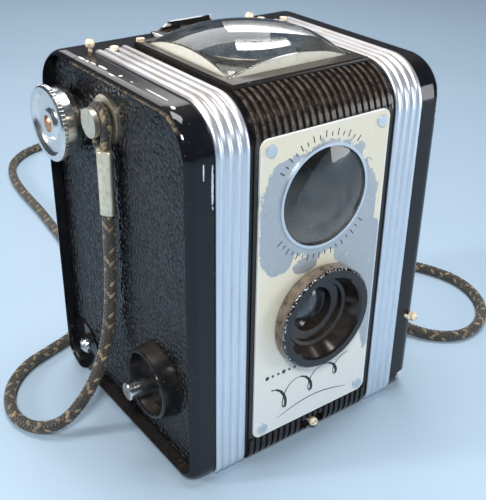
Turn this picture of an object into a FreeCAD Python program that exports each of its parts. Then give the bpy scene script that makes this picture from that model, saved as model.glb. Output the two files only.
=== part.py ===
import FreeCAD, Part
import math
import os
import re

import Sketcher
from FreeCAD import Placement, Rotation, Vector

# Box-type reflex camera for 6 x 6 cm pictures on 620 roll film, in millimetres.
# Frame: +Z up, the lenses look along -Y, +X is to the right seen from in front of the lenses.
# The origin is the centre of the base, on the surface that the camera stands on.

os.makedirs("parts", exist_ok=True)
doc = FreeCAD.newDocument("camera")

# ---------------------------------------------------------------- driving dimensions

DIMENSIONS = {
    # outer box
    "half_width": 43.6,
    "height": 112.0,
    "front": 40.0,
    "wrap_radius": 12.9,
    "low_radius": 5.4,
    "edge_radius": 4.2,
    "skin": 0.9,
    "wall": 1.2,
    "back": 38.1,
    "seam": 18.6,
    "gap": 0.2,
    # side walls sit inside a raised rim
    "side_out": 39.4,
    "side_in": 38.2,
    "rim": 3.5,
    "thin_rim": 1.2,
    "window_corner": 8.5,
    "low_corner": 3.0,
    "leather": 0.6,
    # back cover hinge
    "hinge_depth": 28.6,
    "hinge_level": 10.4,
    "corner_radius": 9.5,
    # ribbed bands and ribbed centre strip
    "band_in": 24.3,
    "band_out": 34.3,
    "band_groove": 0.6,
    "strip_half": 22.9,
    "rib_pitch": 2.2,
    "rib_width": 1.3,
    # face plate and lenses
    "plate_half": 21.6,
    "plate_low": 9.0,
    "plate_high": 101.9,
    "plate_skin": 0.6,
    "view_level": 81.7,
    "view_radius": 14.4,
    "view_bore": 13.4,
    "lens_level": 45.3,
    "lens_bore": 10.7,
    "barrel_radius": 15.7,
    "barrel_front": 44.8,
    # finder on top
    "finder_centre": -4.5,
    "finder_half": 19.5,
    "finder_sphere": 58.0,
    "finder_rise": 7.0,
    # film transport
    "spool_flange": 11.3,
    "spool_core": 3.2,
    "spool_half": 32.5,
    "take_depth": 21.9,
    "take_level": 92.7,
    "supply_depth": 4.0,
    "supply_level": 13.7,
    "roller_radius": 2.2,
    "roller_depth": 31.0,
    "roller_high": 77.6,
    "roller_low": 12.8,
    "gate_half": 28.5,
    # winding knob
    "knob_radius": 10.8,
    "knob_hub": 9.9,
    "knob_face": 49.2,
    # shutter release
    "release_depth": -19.0,
    "release_level": 26.2,
    "plunger_radius": 2.6,
    "selector_side": 1.2,
    "selector_level": 5.0,
    # shutter
    "blade_pivot_side": 9.0,
    "blade_pivot_level": 38.0,
    "lever_pivot_side": -22.0,
    "lever_pivot_level": 36.0,
    # carrying strap
    "stud_depth": 2.2,
    "stud_level": 98.4,
    "cord": 3.7,
    "loop_cord": 2.7,
    "ferrule_side": 43.0,
    "ferrule_low": 72.4,
    "ferrule_high": 91.2,
    # fastenings
    "tripod_depth": -20.0,
    "tripod_bore": 2.6,
    "window_radius": 6.0,
}

sheet = doc.addObject("Spreadsheet::Sheet", "sizes")
for row, (alias, number) in enumerate(DIMENSIONS.items(), start=1):
    sheet.set("A%d" % row, alias)
    sheet.set("B%d" % row, str(number))
    sheet.setAlias("B%d" % row, alias)
doc.recompute()

nodes = []


def size(alias):
    """Number held by one cell of the sheet."""
    return float(sheet.get(alias))


def formula(text):
    """Sheet expression for a number or for words that name cells."""
    return re.sub(r"[a-z_]+", lambda word: "sizes." + word.group(0), str(text))


def worth(text):
    """Millimetres that a sum of cells and numbers comes to."""
    total = 0.0
    for sign, term in re.findall(r"([+-]?)\s*([a-z_]+|[\d.]+)", str(text)):
        number = size(term) if term[0].isalpha() else float(term)
        total += -number if sign == "-" else number
    return total


def bind(thing, prop, text):
    """Tie one property of a thing to the sheet."""
    thing.setExpression(prop, formula(text))


def place(thing, where, rotation=None):
    """Put a thing at three sheet expressions, turned by a rotation."""
    if rotation is not None:
        thing.Placement = Placement(Vector(0, 0, 0), rotation)
    for letter, text in zip("xyz", where):
        bind(thing, "Placement.Base." + letter, text)
    return thing


def node(thing, label):
    """Name a finished piece and keep it for export."""
    thing.Label = label
    nodes.append(thing)
    return thing


# ---------------------------------------------------------------- shapes

TURN = {
    "x": Rotation(Vector(0, 1, 0), 90),
    "y": Rotation(Vector(1, 0, 0), -90),
    "z": Rotation(),
}
SPIN = {
    "x": Rotation(Vector(0, 0, 1), -90),
    "y": Rotation(),
    "z": Rotation(Vector(1, 0, 0), 90),
}


def box(name, x, y, z):
    """Block between two expressions along each axis."""
    thing = doc.addObject("Part::Box", name)
    bind(thing, "Length", "(%s) - (%s)" % (x[1], x[0]))
    bind(thing, "Width", "(%s) - (%s)" % (y[1], y[0]))
    bind(thing, "Height", "(%s) - (%s)" % (z[1], z[0]))
    return place(thing, (x[0], y[0], z[0]))


def rod(name, axis, start, end, centre, radius):
    """Cylinder along an axis from start to end; centre holds the other two coordinates."""
    thing = doc.addObject("Part::Cylinder", name)
    bind(thing, "Radius", radius)
    bind(thing, "Height", "(%s) - (%s)" % (end, start))
    where = list(centre)
    where.insert("xyz".index(axis), start)
    return place(thing, where, TURN[axis])


def ball(name, where, radius):
    """Sphere."""
    thing = doc.addObject("Part::Sphere", name)
    bind(thing, "Radius", radius)
    return place(thing, where)


def joined(name, things):
    """One solid from several that touch."""
    thing = doc.addObject("Part::MultiFuse", name)
    thing.Shapes = things
    thing.Refine = True
    return thing


def cut(name, base, tools):
    """Base with every tool taken away."""
    for count, tool in enumerate(tools):
        thing = doc.addObject("Part::Cut", "%s_%d" % (name, count))
        thing.Base = base
        thing.Tool = tool
        base = thing
    return base


def common(name, first, second):
    """What two solids share."""
    thing = doc.addObject("Part::Common", name)
    thing.Base = first
    thing.Tool = second
    return thing


def group(name, things):
    """Several separate solids kept as one piece of the list."""
    thing = doc.addObject("Part::Compound", name)
    thing.Links = things
    return thing


def rounded(name, base, chosen):
    """Fillet the edges that a test gives a radius for."""
    doc.recompute()
    edges = []
    for number, edge in enumerate(base.Shape.Edges, start=1):
        radius = chosen(edge)
        if radius:
            edges.append((number, radius, radius))
    thing = doc.addObject("Part::Fillet", name)
    thing.Base = base
    thing.Edges = edges
    return thing


def along(edge, axis):
    """True where a straight edge runs along an axis."""
    return edge.Curve.TypeId == "Part::GeomLine" and abs(getattr(edge.Curve.Direction, axis)) > 0.99


def body_sketch(name, role, points):
    """Body with a closed polygon sketched on one of its planes, each corner tied to the sheet."""
    body = doc.addObject("PartDesign::Body", name)
    sketch = body.newObject("Sketcher::SketchObject", name + "_sketch")
    plane = next(item for item in body.Origin.OriginFeatures if item.Role == role)
    sketch.AttachmentSupport = (plane, "")
    sketch.MapMode = "FlatFace"
    corners = [Vector(worth(u), worth(v), 0) for u, v in points]
    last = len(points) - 1
    for index, corner in enumerate(corners):
        after = corners[0 if index == last else index + 1]
        sketch.addGeometry(Part.LineSegment(corner, after), False)
    for index in range(len(points)):
        after = 0 if index == last else index + 1
        sketch.addConstraint(Sketcher.Constraint("Coincident", index, 2, after, 1))
    for index, (corner, texts) in enumerate(zip(corners, points)):
        for kind, number, text, line in (("DistanceX", corner.x, texts[0], -2),
                                         ("DistanceY", corner.y, texts[1], -1)):
            if abs(number) < 1e-9:
                sketch.addConstraint(Sketcher.Constraint("PointOnObject", index, 1, line))
                continue
            entry = sketch.addConstraint(Sketcher.Constraint(kind, -1, 1, index, 1, number))
            sketch.setExpression("Constraints[%d]" % entry, formula(text))
    return body, sketch


def turned(name, axis, centre, profile):
    """Body turned about an axis: profile holds (radius, place along the axis) pairs."""
    body, sketch = body_sketch(name, "XY_Plane", profile)
    turn = body.newObject("PartDesign::Revolution", name + "_turn")
    turn.Profile = sketch
    turn.ReferenceAxis = (sketch, ["V_Axis"])
    turn.Angle = 360.0
    body.Tip = turn
    where = list(centre)
    where.insert("xyz".index(axis), "0")
    return place(body, where, SPIN[axis])


def prism(name, role, points, where, depth):
    """Body padded from a polygon: YZ_Plane pads towards +X, XZ_Plane towards -Y."""
    body, sketch = body_sketch(name, role, points)
    pad = body.newObject("PartDesign::Pad", name + "_pad")
    pad.Profile = sketch
    bind(pad, "Length", depth)
    body.Tip = pad
    return place(body, where)


def shell_block(name, half, inset):
    """Side outline of the camera, inset from its skin, as wide as twice half."""
    block = box(name + "_block", ("-(%s)" % half, half),
                ("-front + skin + %s" % inset, "back - %s" % inset),
                ("skin + %s" % inset, "height - skin - %s" % inset))
    depth = worth(inset)
    wrap = size("wrap_radius") - size("skin") - depth
    low_front = size("low_radius") - size("skin") - depth
    low_back = size("corner_radius") - depth

    def radius(edge):
        if not along(edge, "x"):
            return None
        middle = edge.CenterOfMass
        if middle.z > size("height") / 2:
            return wrap
        return low_back if middle.y > 0 else low_front

    return rounded(name, block, radius)


def wrap_strip(name, x, inset, rear="seam - gap"):
    """Straight-sided strip of the outline in front of the seam, inset from the outermost face."""
    block = box(name + "_block", x, ("-front + %s" % inset, rear), (inset, "height - %s" % inset))
    wrap = size("wrap_radius") - worth(inset)
    low_front = size("low_radius") - worth(inset)

    def radius(edge):
        middle = edge.CenterOfMass
        if not along(edge, "x") or middle.y > 0:
            return None
        return wrap if middle.z > size("height") / 2 else low_front

    return rounded(name, block, radius)


def both_sides(name, maker):
    """The same piece made for the left and the right side."""
    return [maker("%s_%s" % (name, side), sign) for side, sign in (("left", "-"), ("right", ""))]


def swept(name, edges, radius):
    """Round solid along straight runs and tangent arcs."""
    wire = Part.Wire(edges)
    start = edges[0]
    tangent = start.tangentAt(start.FirstParameter)
    circle = Part.makeCircle(radius, start.valueAt(start.FirstParameter), tangent)
    thing = doc.addObject("Part::Feature", name)
    thing.Shape = wire.makePipeShell([Part.Wire(circle)], True, False)
    return thing


def smooth_edges(route):
    """Straight runs joined by tangent arcs as large as the runs allow, and their radii."""
    points = [Vector(*point) for point in route]
    edges, radii = [], []
    start = points[0]
    for before, corner, after in zip(points, points[1:], points[2:]):
        coming, going = corner - before, after - corner
        reach = 0.45 * min(coming.Length, going.Length)
        half_turn = coming.getAngle(going) / 2
        radii.append(reach / math.tan(half_turn))
        coming.normalize()
        going.normalize()
        enter, leave = corner - coming * reach, corner + going * reach
        bisector = going - coming
        bisector.normalize()
        hub = corner + bisector * (radii[-1] / math.cos(half_turn))
        middle = hub - bisector * radii[-1]
        edges.append(Part.LineSegment(start, enter).toShape())
        edges.append(Part.Arc(enter, middle, leave).toShape())
        start = leave
    edges.append(Part.LineSegment(start, points[-1]).toShape())
    return edges, radii


# ---------------------------------------------------------------- pressed metal box

HINGE = ("hinge_depth", "hinge_level")

outer = shell_block("outer", "half_width", "0")


def outline_edge(edge):
    """Edges of the two flat sides get the outer edge radius."""
    on_side = abs(abs(edge.CenterOfMass.x) - size("half_width")) < 0.01
    return size("edge_radius") if on_side else None


envelope = rounded("envelope", outer, outline_edge)
cavity = shell_block("cavity", "side_in", "wall")


def side_sheet(name, span, inset):
    """Outline inside the raised rim of one side, inset from the rim."""
    block = box(name + "_block", span,
                ("-front + skin + thin_rim + %s" % inset, "back - rim - %s" % inset),
                ("skin + rim + %s" % inset, "height - skin - thin_rim - %s" % inset))
    high_front = size("wrap_radius") - size("skin") - size("thin_rim")

    def radius(edge):
        if not along(edge, "x"):
            return None
        middle = edge.CenterOfMass
        corner = size("window_corner")
        if middle.y < 0:
            corner = high_front if middle.z > size("height") / 2 else size("low_corner")
        return corner - worth(inset)

    return rounded(name, block, radius)


def side_window(name, sign):
    """Recess inside the raised rim of one side."""
    near, far = "%sside_out" % sign, "%s(half_width + 1)" % sign
    return side_sheet(name, (far, near) if sign else (near, far), "0")


windows = both_sides("window", side_window)
blank = cut("blank", envelope, [cavity] + windows)

lens_hole = rod("lens_hole", "y", "-front", "-front + 4", ("0", "lens_level"), "lens_bore")
view_hole = rod("view_hole", "y", "-front", "-front + 4", ("0", "view_level"), "view_bore")
top_hole = box("top_hole", ("-18.6", "18.6"), ("finder_centre - 18.6", "finder_centre + 18.6"),
               ("height - 5", "height"))
knob_hole = rod("knob_hole", "x", "-41", "-side_in + 1", ("take_depth", "take_level"), "6.0")
release_hole = rod("release_hole", "x", "-41", "-side_in + 1",
                   ("release_depth", "release_level"), "5.8")
EDGE_PIN = ("39.0", "28.8")
edge_pin_hole = rod("edge_pin_hole", "y", "-41", "-37.75", EDGE_PIN, "0.65")
tripod_hole = rod("tripod_hole", "z", "0", "5", ("0", "tripod_depth"), "5.0")
SELECTOR_SLOT = (("selector_side - 4.6", "selector_side + 4.6"), ("-41", "-32"),
                 ("selector_level - 1.6", "selector_level + 1.6"))
selector_slot = box("selector_slot", *SELECTOR_SLOT)

cover_room = joined("cover_room", [
    box("cover_room_top", ("-44", "44"), ("seam - gap", "45"), ("hinge_level - gap", "115")),
    box("cover_room_back", ("-44", "44"), ("hinge_depth", "45"), ("-5", "hinge_level + 1")),
    rod("cover_room_corner", "x", "-44", "44", HINGE, "corner_radius + 0.4"),
])
front_box = cut("front_box", blank, [cover_room])

inner_outline = shell_block("inner_outline", "side_out", "1.4")
inner_cavity = shell_block("inner_cavity", "side_in", "2.6")
inner_sleeve = cut("inner_sleeve", inner_outline, [inner_cavity])
side_room = box("side_room", ("-side_in", "side_in"), ("0", "50"), ("hinge_level", "120"))
flat_floor = box("flat_floor", ("-side_in", "side_in"), ("0", "hinge_depth"), ("0", "20"))
lip_zone = box("lip_zone", ("-50", "50"), ("17", "50"), ("0", "120"))
lip = common("lip", cut("open_sleeve", inner_sleeve, [side_room, flat_floor]), lip_zone)


def corner_arc(name, half, inner_radius, outer_radius):
    """Quarter ring about the hinge line, in front of it and below it."""
    ring = cut(name + "_ring", rod(name + "_outside", "x", "-(%s)" % half, half, HINGE,
                                   outer_radius),
               [rod(name + "_inside", "x", "-50", "50", HINGE, inner_radius)])
    quarter = box(name + "_quarter", ("-50", "50"), ("0", "hinge_depth"),
                  ("-5", "hinge_level"))
    return common(name, ring, quarter)


sweep_room = corner_arc("sweep_room", "44", "corner_radius - 1.35", "corner_radius + 0.4")

pivot_holes = rod("pivot_holes", "x", "-44", "44", HINGE, "1.5")
stud_holes = rod("stud_holes", "x", "-44", "44", ("stud_depth", "stud_level"), "2.0")
take_hole = rod("take_hole", "x", "side_in - 1", "44", ("take_depth", "take_level"), "1.5")
supply_holes = rod("supply_holes", "x", "-44", "44", ("supply_depth", "supply_level"), "1.5")
housing = cut("housing", joined("housing_walls", [front_box, lip]), [
    sweep_room,
    lens_hole, view_hole, top_hole, knob_hole, release_hole, tripod_hole, selector_slot,
    edge_pin_hole,
    pivot_holes, stud_holes, take_hole, supply_holes,
])
node(housing, "main_housing")

# ---------------------------------------------------------------- back cover

wide_cavity = shell_block("wide_cavity", "side_out + gap", "wall")
cover_zone = joined("cover_zone", [
    box("cover_zone_top", ("-44", "44"), ("seam", "45"), ("hinge_level", "115")),
    box("cover_zone_back", ("-44", "44"), ("hinge_depth", "45"), ("-5", "hinge_level + 1")),
])
cover_shell = common("cover_shell", cut("cover_blank", envelope, [wide_cavity] + windows),
                     cover_zone)


def cheek(name, sign):
    """Round lug of the cover, concentric with its bottom corner."""
    near, far = ("-40.5", "-side_out - gap") if sign else ("side_out + gap", "40.5")
    return rod(name, "x", near, far, HINGE, "corner_radius")


hinge_bore = rod("hinge_bore", "x", "-44", "44", HINGE, "1.55")
peep_hole = rod("peep_hole", "y", "30", "45", ("0", "lens_level"), "window_radius + 0.2")
latch_slot = box("latch_slot", ("1.4", "12.4"), ("20.3", "21.9"), ("height - 4", "height + 1"))
curl = cut("curl", corner_arc("curl_arc", "side_in - gap", "corner_radius - wall",
                               "corner_radius"),
           [box("curl_end", ("-50", "50"), ("15", "hinge_depth"), ("hinge_level - 5", "20"))])
cover = cut("cover", joined("cover_walls", [cover_shell, curl] + both_sides("cheek", cheek)),
            [hinge_bore, peep_hole, latch_slot])
node(cover, "back_cover")


def pivot_stud(name, sign):
    """Domed rivet that the cover turns on."""
    profile = [("0", "37.6"), ("1.5", "37.6"), ("1.5", "40.5"), ("2.9", "40.5"),
               ("2.7", "41.1"), ("1.9", "41.7"), ("0.9", "42"), ("0", "42")]
    return turned(name, "x", HINGE, [(across, sign + place_x) for across, place_x in profile])


for label, stud in zip(("hinge_rivet_left", "hinge_rivet_right"),
                       both_sides("pivot_stud", pivot_stud)):
    node(stud, label)

# The latch slides along X. Its leg drops through the cover in front of the keeper's rear wall.
latch_plate = box("latch_plate", ("-12", "10"), ("19.4", "26.4"),
                  ("height - skin + 0.1", "height"))
latch_lip = prism("latch_lip", "XZ_Plane", [
    ("-9.6", "height - 0.2"), ("-9.6", "height"), ("-5.6", "height + 2.3"),
    ("9", "height + 2.3"), ("9", "height - 0.2"),
], ("0", "26.4", "0"), "0.8")
latch_leg = box("latch_leg", ("2.4", "6.4"), ("20.6", "21.6"), ("106", "height - 0.2"))
rivet_slot = box("rivet_slot", ("-7.9", "-0.9"), ("22.9", "24.5"), ("height - 3", "height + 1"))
latch = cut("latch", joined("latch_sheet", [latch_plate, latch_lip, latch_leg]), [rivet_slot])
node(latch, "back_latch")
latch_rivet = joined("latch_rivet_solid", [
    rod("latch_rivet_shank", "z", "height - skin", "height + 0.1", ("-1.8", "23.7"), "0.7"),
    rod("latch_rivet_head", "z", "height + 0.1", "height + 0.9", ("-1.8", "23.7"), "1.4"),
])
node(latch_rivet, "latch_rivet")
keeper = joined("keeper_sheet", [
    box("keeper_front", ("7.2", "14"), ("16.6", "17.4"), ("104.7", "height - skin - wall")),
    box("keeper_floor", ("7.2", "14"), ("16.6", "23"), ("104.7", "105.4")),
    box("keeper_rear", ("7.2", "14"), ("22.2", "23"), ("104.7", "108.6")),
])
node(keeper, "latch_keeper")

window_frame = turned("window_frame", "y", ("0", "lens_level"), [
    ("window_radius", "back - 1.2"), ("window_radius + 0.2", "back - 1.2"),
    ("window_radius + 0.2", "back"), ("window_radius + 2.4", "back"),
    ("window_radius + 2.4", "back + 0.9"), ("window_radius - 0.6", "back + 0.9"),
    ("window_radius - 0.6", "back + 0.2"), ("window_radius", "back + 0.2"),
])
node(window_frame, "film_window_frame")
node(rod("film_window_disc", "y", "back - 0.8", "back + 0.2", ("0", "lens_level"),
         "window_radius"), "film_window")

# ---------------------------------------------------------------- ribbed trim

BAND_RIDGES = 4


def band(name, sign):
    """Aluminium band round the front, top and base, with four ridges."""
    width = (size("band_out") - size("band_in") - 3 * size("band_groove")) / BAND_RIDGES
    near, far = ("-band_out", "-band_in") if sign else ("band_in", "band_out")
    strips = [wrap_strip(name + "_web", (near, far), "0.45")]
    for ridge in range(BAND_RIDGES):
        start = "%s + %d * (%s + band_groove)" % (near, ridge, width)
        strips.append(wrap_strip("%s_ridge_%d" % (name, ridge),
                                 (start, "%s + %s" % (start, width)), "0"))
    inner = wrap_strip(name + "_inner", (near + " - 1", far + " + 1"), "skin", "seam + 1")
    return cut(name + "_wrap", joined(name + "_strips", strips), [inner])


for label, trim in zip(("left_trim_band", "right_trim_band"), both_sides("band", band)):
    node(trim, label)

RIB_COUNT = 21
strip_web = wrap_strip("strip_web", ("-strip_half", "strip_half"), "0.5")
ribs = []
for rib in range(RIB_COUNT):
    middle = "(%s) * rib_pitch" % (rib - (RIB_COUNT - 1) / 2)
    ribs.append(wrap_strip("rib_%d" % rib, ("%s - rib_width / 2" % middle,
                                           "%s + rib_width / 2" % middle), "0"))
strip_inner = wrap_strip("strip_inner", ("-25", "25"), "skin", "seam + 1")
plate_seat = box("plate_seat", ("-25", "25"), ("-front - 1", "-front + 0.5"),
                 ("plate_low - 0.3", "plate_high + 2.6"))
under_finder = box("under_finder", ("-25", "25"), ("-29.6", "30"), ("60", "height + 1"))
strip_holes = [
    rod("strip_lens_hole", "y", "-41", "-38", ("0", "lens_level"), "lens_bore"),
    rod("strip_view_hole", "y", "-41", "-38", ("0", "view_level"), "view_radius + 0.1"),
    rod("strip_tripod_hole", "z", "-1", "3", ("0", "tripod_depth"), "6.2"),
    box("strip_selector_slot", *SELECTOR_SLOT),
]
strip = cut("strip", joined("strip_ribs", [strip_web] + ribs),
            [strip_inner, plate_seat, under_finder] + strip_holes)
node(strip, "ribbed_centre_strip")

RIVET_PLACES = [("-29.6", "16.2", "height"), ("29.6", "16.2", "height"),
                ("-21.1", "16.6", "height + 0.9"), ("21.1", "16.6", "height + 0.9")]
band_rivets = []
for column, depth, level in RIVET_PLACES:
    band_rivets.append(rod("band_rivet_%d" % len(band_rivets), "z", level, level + " + 0.8",
                           (column, depth), "1.2"))
node(group("band_rivet_set", band_rivets), "band_rivets")

# ---------------------------------------------------------------- front face

plate_block = box("plate_block", ("-plate_half", "plate_half"),
                  ("-front + 0.5 - plate_skin", "-front + 0.5"), ("plate_low", "plate_high"))


def plate_corner(edge):
    """Vertical corners of the face plate."""
    return 2.5 if along(edge, "y") else None


plate = cut("plate", rounded("plate_sheet", plate_block, plate_corner), [
    rod("plate_view_hole", "y", "-42", "-38", ("0", "view_level"), "view_radius + 0.1"),
    rod("plate_lens_hole", "y", "-42", "-38", ("0", "lens_level"), "lens_bore"),
])
node(plate, "face_plate")

FACE = "-front + 0.5 - plate_skin"
plate_rivets = []
for column, level in (("-18.6", "99"), ("18.6", "99"), ("-18.6", "12"), ("18.6", "12")):
    number = len(plate_rivets)
    plate_rivets.append(rod("plate_rivet_%d" % number, "y", FACE + " - 0.7", FACE,
                            (column, level), "1.6"))
node(group("plate_rivet_set", plate_rivets), "face_plate_rivets")

node(turned("view_ring", "y", ("0", "view_level"), [
    ("view_radius - 0.3", FACE + " - 0.5"), ("view_radius + 0.5", FACE + " - 0.5"),
    ("view_radius + 0.5", FACE), ("view_radius - 0.3", FACE),
]), "viewing_lens_ring")

view_dome = ball("view_dome", ("0", "-42 + 50.4", "view_level"), "50.4")
view_disc = rod("view_disc", "y", "-43", "-front + skin", ("0", "view_level"),
                "view_radius - 0.4")
node(common("view_glass", view_disc, view_dome), "viewing_lens")

node(turned("barrel", "y", ("0", "lens_level"), [
    ("barrel_radius - 0.6", FACE), ("barrel_radius", "-41"), ("barrel_radius", "-44.2"),
    ("barrel_radius - 0.6", "-barrel_front"), ("13.0", "-barrel_front"), ("12.4", "-44.2"),
    ("10.6", "-40.2"), ("9.6", "-39.9"), ("9.4", "-38.6"), ("7.0", "-38.2"), ("7.0", "-34.4"),
    ("10.5", "-34.4"), ("10.5", FACE),
]), "lens_barrel")

front_dome = ball("front_dome", ("0", "-37.9 + 12", "lens_level"), "12")
rear_hollow = ball("rear_hollow", ("0", "-36.2 + 14", "lens_level"), "14")
lens_disc = rod("lens_disc", "y", "-38", "-35.4", ("0", "lens_level"), "6.9")
node(cut("meniscus", common("meniscus_front", lens_disc, front_dome), [rear_hollow]),
     "taking_lens")
node(turned("retainer", "y", ("0", "lens_level"), [
    ("5.6", "-35.2"), ("6.95", "-35.2"), ("6.95", "-34.5"), ("5.6", "-34.5"),
]), "lens_retaining_ring")

# ---------------------------------------------------------------- shutter

node(turned("stop", "y", ("0", "lens_level"), [
    ("2.4", "-34.2"), ("10.2", "-34.2"), ("10.2", "-33.7"), ("2.4", "-33.7"),
]), "aperture_plate")

shutter_sheet = box("shutter_sheet", ("-26", "20"), ("-33.5", "-32.5"), ("30", "61"))
posts = []
for column, level in (("-17", "33"), ("17", "33"), ("-17", "58"), ("17", "58")):
    posts.append(rod("shutter_post_%d" % len(posts), "y", "-37.9", "-33.5", (column, level), "1.5"))
node(cut("shutter_base", joined("shutter_posts", [shutter_sheet] + posts), [
    rod("shutter_hole", "y", "-34", "-32", ("0", "lens_level"), "4.0"),
]), "shutter_plate")

BLADE_PIVOT = ("blade_pivot_side", "blade_pivot_level")
LEVER_PIVOT = ("lever_pivot_side", "lever_pivot_level")
blade_fan = rod("blade_fan", "y", "-32.2", "-31.9", BLADE_PIVOT, "17.0")
blade_fan.Angle = 62.0
blade_fan.Placement = Placement(
    blade_fan.Placement.Base,
    Rotation(Vector(0, 1, 0), -172.0).multiply(TURN["y"]),
)
blade_hub = rod("blade_hub", "y", "-32.2", "-31.5", BLADE_PIVOT, "3.2")
blade_bore = rod("blade_bore", "y", "-33", "-31", BLADE_PIVOT, "1.5")
node(cut("blade", joined("blade_sheet", [blade_fan, blade_hub]), [blade_bore]), "shutter_blade")

lever_arm = prism("lever_arm", "XZ_Plane", [
    ("-25", "39"), ("-31", "29"), ("-31", "20"), ("-29", "20"), ("-19", "33"), ("-19", "39"),
], ("0", "-30.2", "0"), "0.8")
lever_lug = box("lever_lug", ("-31", "-30.2"), ("-30.6", "-16.6"), ("20", "29"))
lever_bore = rod("lever_bore", "y", "-32", "-29", LEVER_PIVOT, "1.5")
node(cut("lever", joined("lever_sheet", [lever_arm, lever_lug]), [lever_bore]), "shutter_lever")

node(group("pivot_pins", [
    rod("blade_pin", "y", "-32.5", "-29.0", BLADE_PIVOT, "1.42"),
    rod("lever_pin", "y", "-32.5", "-27.6", LEVER_PIVOT, "1.42"),
]), "shutter_pivots")


def coil(name, centre, start, turns, pitch, radius, wire):
    """Close-wound spring about an axis along Y, with eight arcs in each turn."""
    corners = []
    for step in range(8 * turns + 1):
        angle = math.pi * step / 4
        corners.append((radius * math.cos(angle), radius * math.sin(angle), pitch * step / 8))
    thing = swept(name, smooth_edges(corners)[0], wire)
    where = Vector(worth(centre[0]), start, worth(centre[1]))
    thing.Placement = Placement(where, TURN["y"])
    return thing


node(coil("blade_coil", BLADE_PIVOT, -31.1, 3, 0.6, 2.0, 0.22), "shutter_spring")
node(coil("lever_coil", LEVER_PIVOT, -29.8, 3, 0.6, 2.0, 0.22), "release_spring")

# ---------------------------------------------------------------- shutter release

RELEASE = ("release_depth", "release_level")
node(turned("boss", "x", RELEASE, [
    ("plunger_radius + 0.08", "-37.2"), ("5.8", "-37.2"), ("5.8", "-side_out - leather"),
    ("11.3", "-side_out - leather"), ("11.1", "-41.3"), ("10.6", "-44.5"), ("10.2", "-45"),
    ("9.7", "-45"), ("9.3", "-44.4"), ("8.6", "-41.4"), ("plunger_radius + 0.08", "-41.4"),
]), "release_boss")
node(turned("plunger", "x", RELEASE, [
    ("0", "-50.7"), ("2.3", "-50.7"), ("plunger_radius", "-50.4"), ("plunger_radius", "-37.0"),
    ("3.6", "-37.0"), ("3.6", "-36.2"), ("plunger_radius", "-36.2"),
    ("plunger_radius", "-31.6"), ("0", "-31.6"),
]), "release_plunger")

SELECTOR = ("selector_side", "selector_level")
node(joined("selector", [
    rod("selector_shank", "y", "-40.2", "-31", SELECTOR, "0.9"),
    ball("selector_ball", ("selector_side", "-40.4", "selector_level"), "1.4"),
    rod("selector_collar", "y", "-31.5", "-31", SELECTOR, "1.8"),
]), "exposure_selector")

# ---------------------------------------------------------------- reflex finder

TOP = "height - skin"
frame_block = box("frame_block", ("-22.4", "22.4"), ("finder_centre - 25", "seam - 0.6"),
                  (TOP, "height + 0.9"))
frame_hole = box("frame_hole", ("-finder_half - gap", "finder_half + gap"),
                 ("finder_centre - finder_half - gap", "finder_centre + finder_half + gap"),
                 (TOP + " - 1", "height + 2"))
frame_ring = cut("frame_ring", frame_block, [frame_hole])


def frame_bevel(edge):
    """Inner and outer top edges of the finder frame."""
    middle = edge.CenterOfMass
    return 0.7 if middle.z > size("height") + 0.8 else None


node(rounded("frame", frame_ring, frame_bevel), "finder_frame")

glass_block = box("glass_block", ("-finder_half", "finder_half"),
                  ("finder_centre - finder_half", "finder_centre + finder_half"),
                  (TOP, "height + 20"))
glass_ball = ball("glass_ball", ("0", "finder_centre",
                                 "height + 0.3 + finder_rise - finder_sphere"), "finder_sphere")
node(common("glass", glass_block, glass_ball), "finder_lens")

chamber_outer = prism("chamber_outer", "YZ_Plane", [
    ("-37.9", "66"), ("-23.5", "66"), ("15", "104.5"), ("15", "109.8"), ("-37.9", "109.8"),
], ("-22", "0", "0"), "44")
chamber_inner = prism("chamber_inner", "YZ_Plane", [
    ("-42", "66.8"), ("-23.8", "66.8"), ("14.2", "104.8"), ("14.2", "115"), ("-42", "115"),
], ("-21.2", "0", "0"), "42.4")
node(cut("chamber", chamber_outer, [chamber_inner, cut("chamber_trim", box(
    "chamber_corner", ("-30", "30"), ("-50", "-27"), ("99", "115")), [
        wrap_strip("chamber_wrap", ("-30", "30"), "2.3")])]), "finder_chamber")
mirror = box("mirror_glass", ("-19", "19"), ("0", "50"), ("0", "1"))
mirror.Placement = Placement(Vector(0, 0, 0), Rotation(Vector(1, 0, 0), 45))
bind(mirror, "Placement.Base.y", "-22.7")
bind(mirror, "Placement.Base.z", "-22.7 + 90.8")
node(mirror, "finder_mirror")

# ---------------------------------------------------------------- film chamber


def tapered(name, near, far, front, rear):
    """Square funnel centred on the taking lens, widening from front to rear."""
    wedge = doc.addObject("Part::Wedge", name)
    for prop, text in (("Xmin", "-(%s)" % near), ("Xmax", near), ("X2min", "-(%s)" % far),
                       ("X2max", far), ("Zmin", "-(%s)" % near), ("Zmax", near),
                       ("Z2min", "-(%s)" % far), ("Z2max", far), ("Ymin", front),
                       ("Ymax", rear)):
        bind(wedge, prop, text)
    return place(wedge, ("0", "0", "lens_level"))


gate_plate = box("gate_plate", ("-side_in + gap", "side_in - gap"), ("32", "33"),
                 ("15.4", "lens_level + 29.6"))
funnel = tapered("funnel", "9", "gate_half + 0.8", "-24", "33")
funnel_inner = tapered("funnel_inner", "8.2 - 0.7", "gate_half + 0.35", "-26", "34")
gate_hole = box("gate_hole", ("-gate_half", "gate_half"), ("31.9", "34"),
                ("lens_level - gate_half", "lens_level + gate_half"))
node(cut("gate", joined("gate_walls", [gate_plate, funnel]), [funnel_inner, gate_hole]),
     "film_gate")

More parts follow.
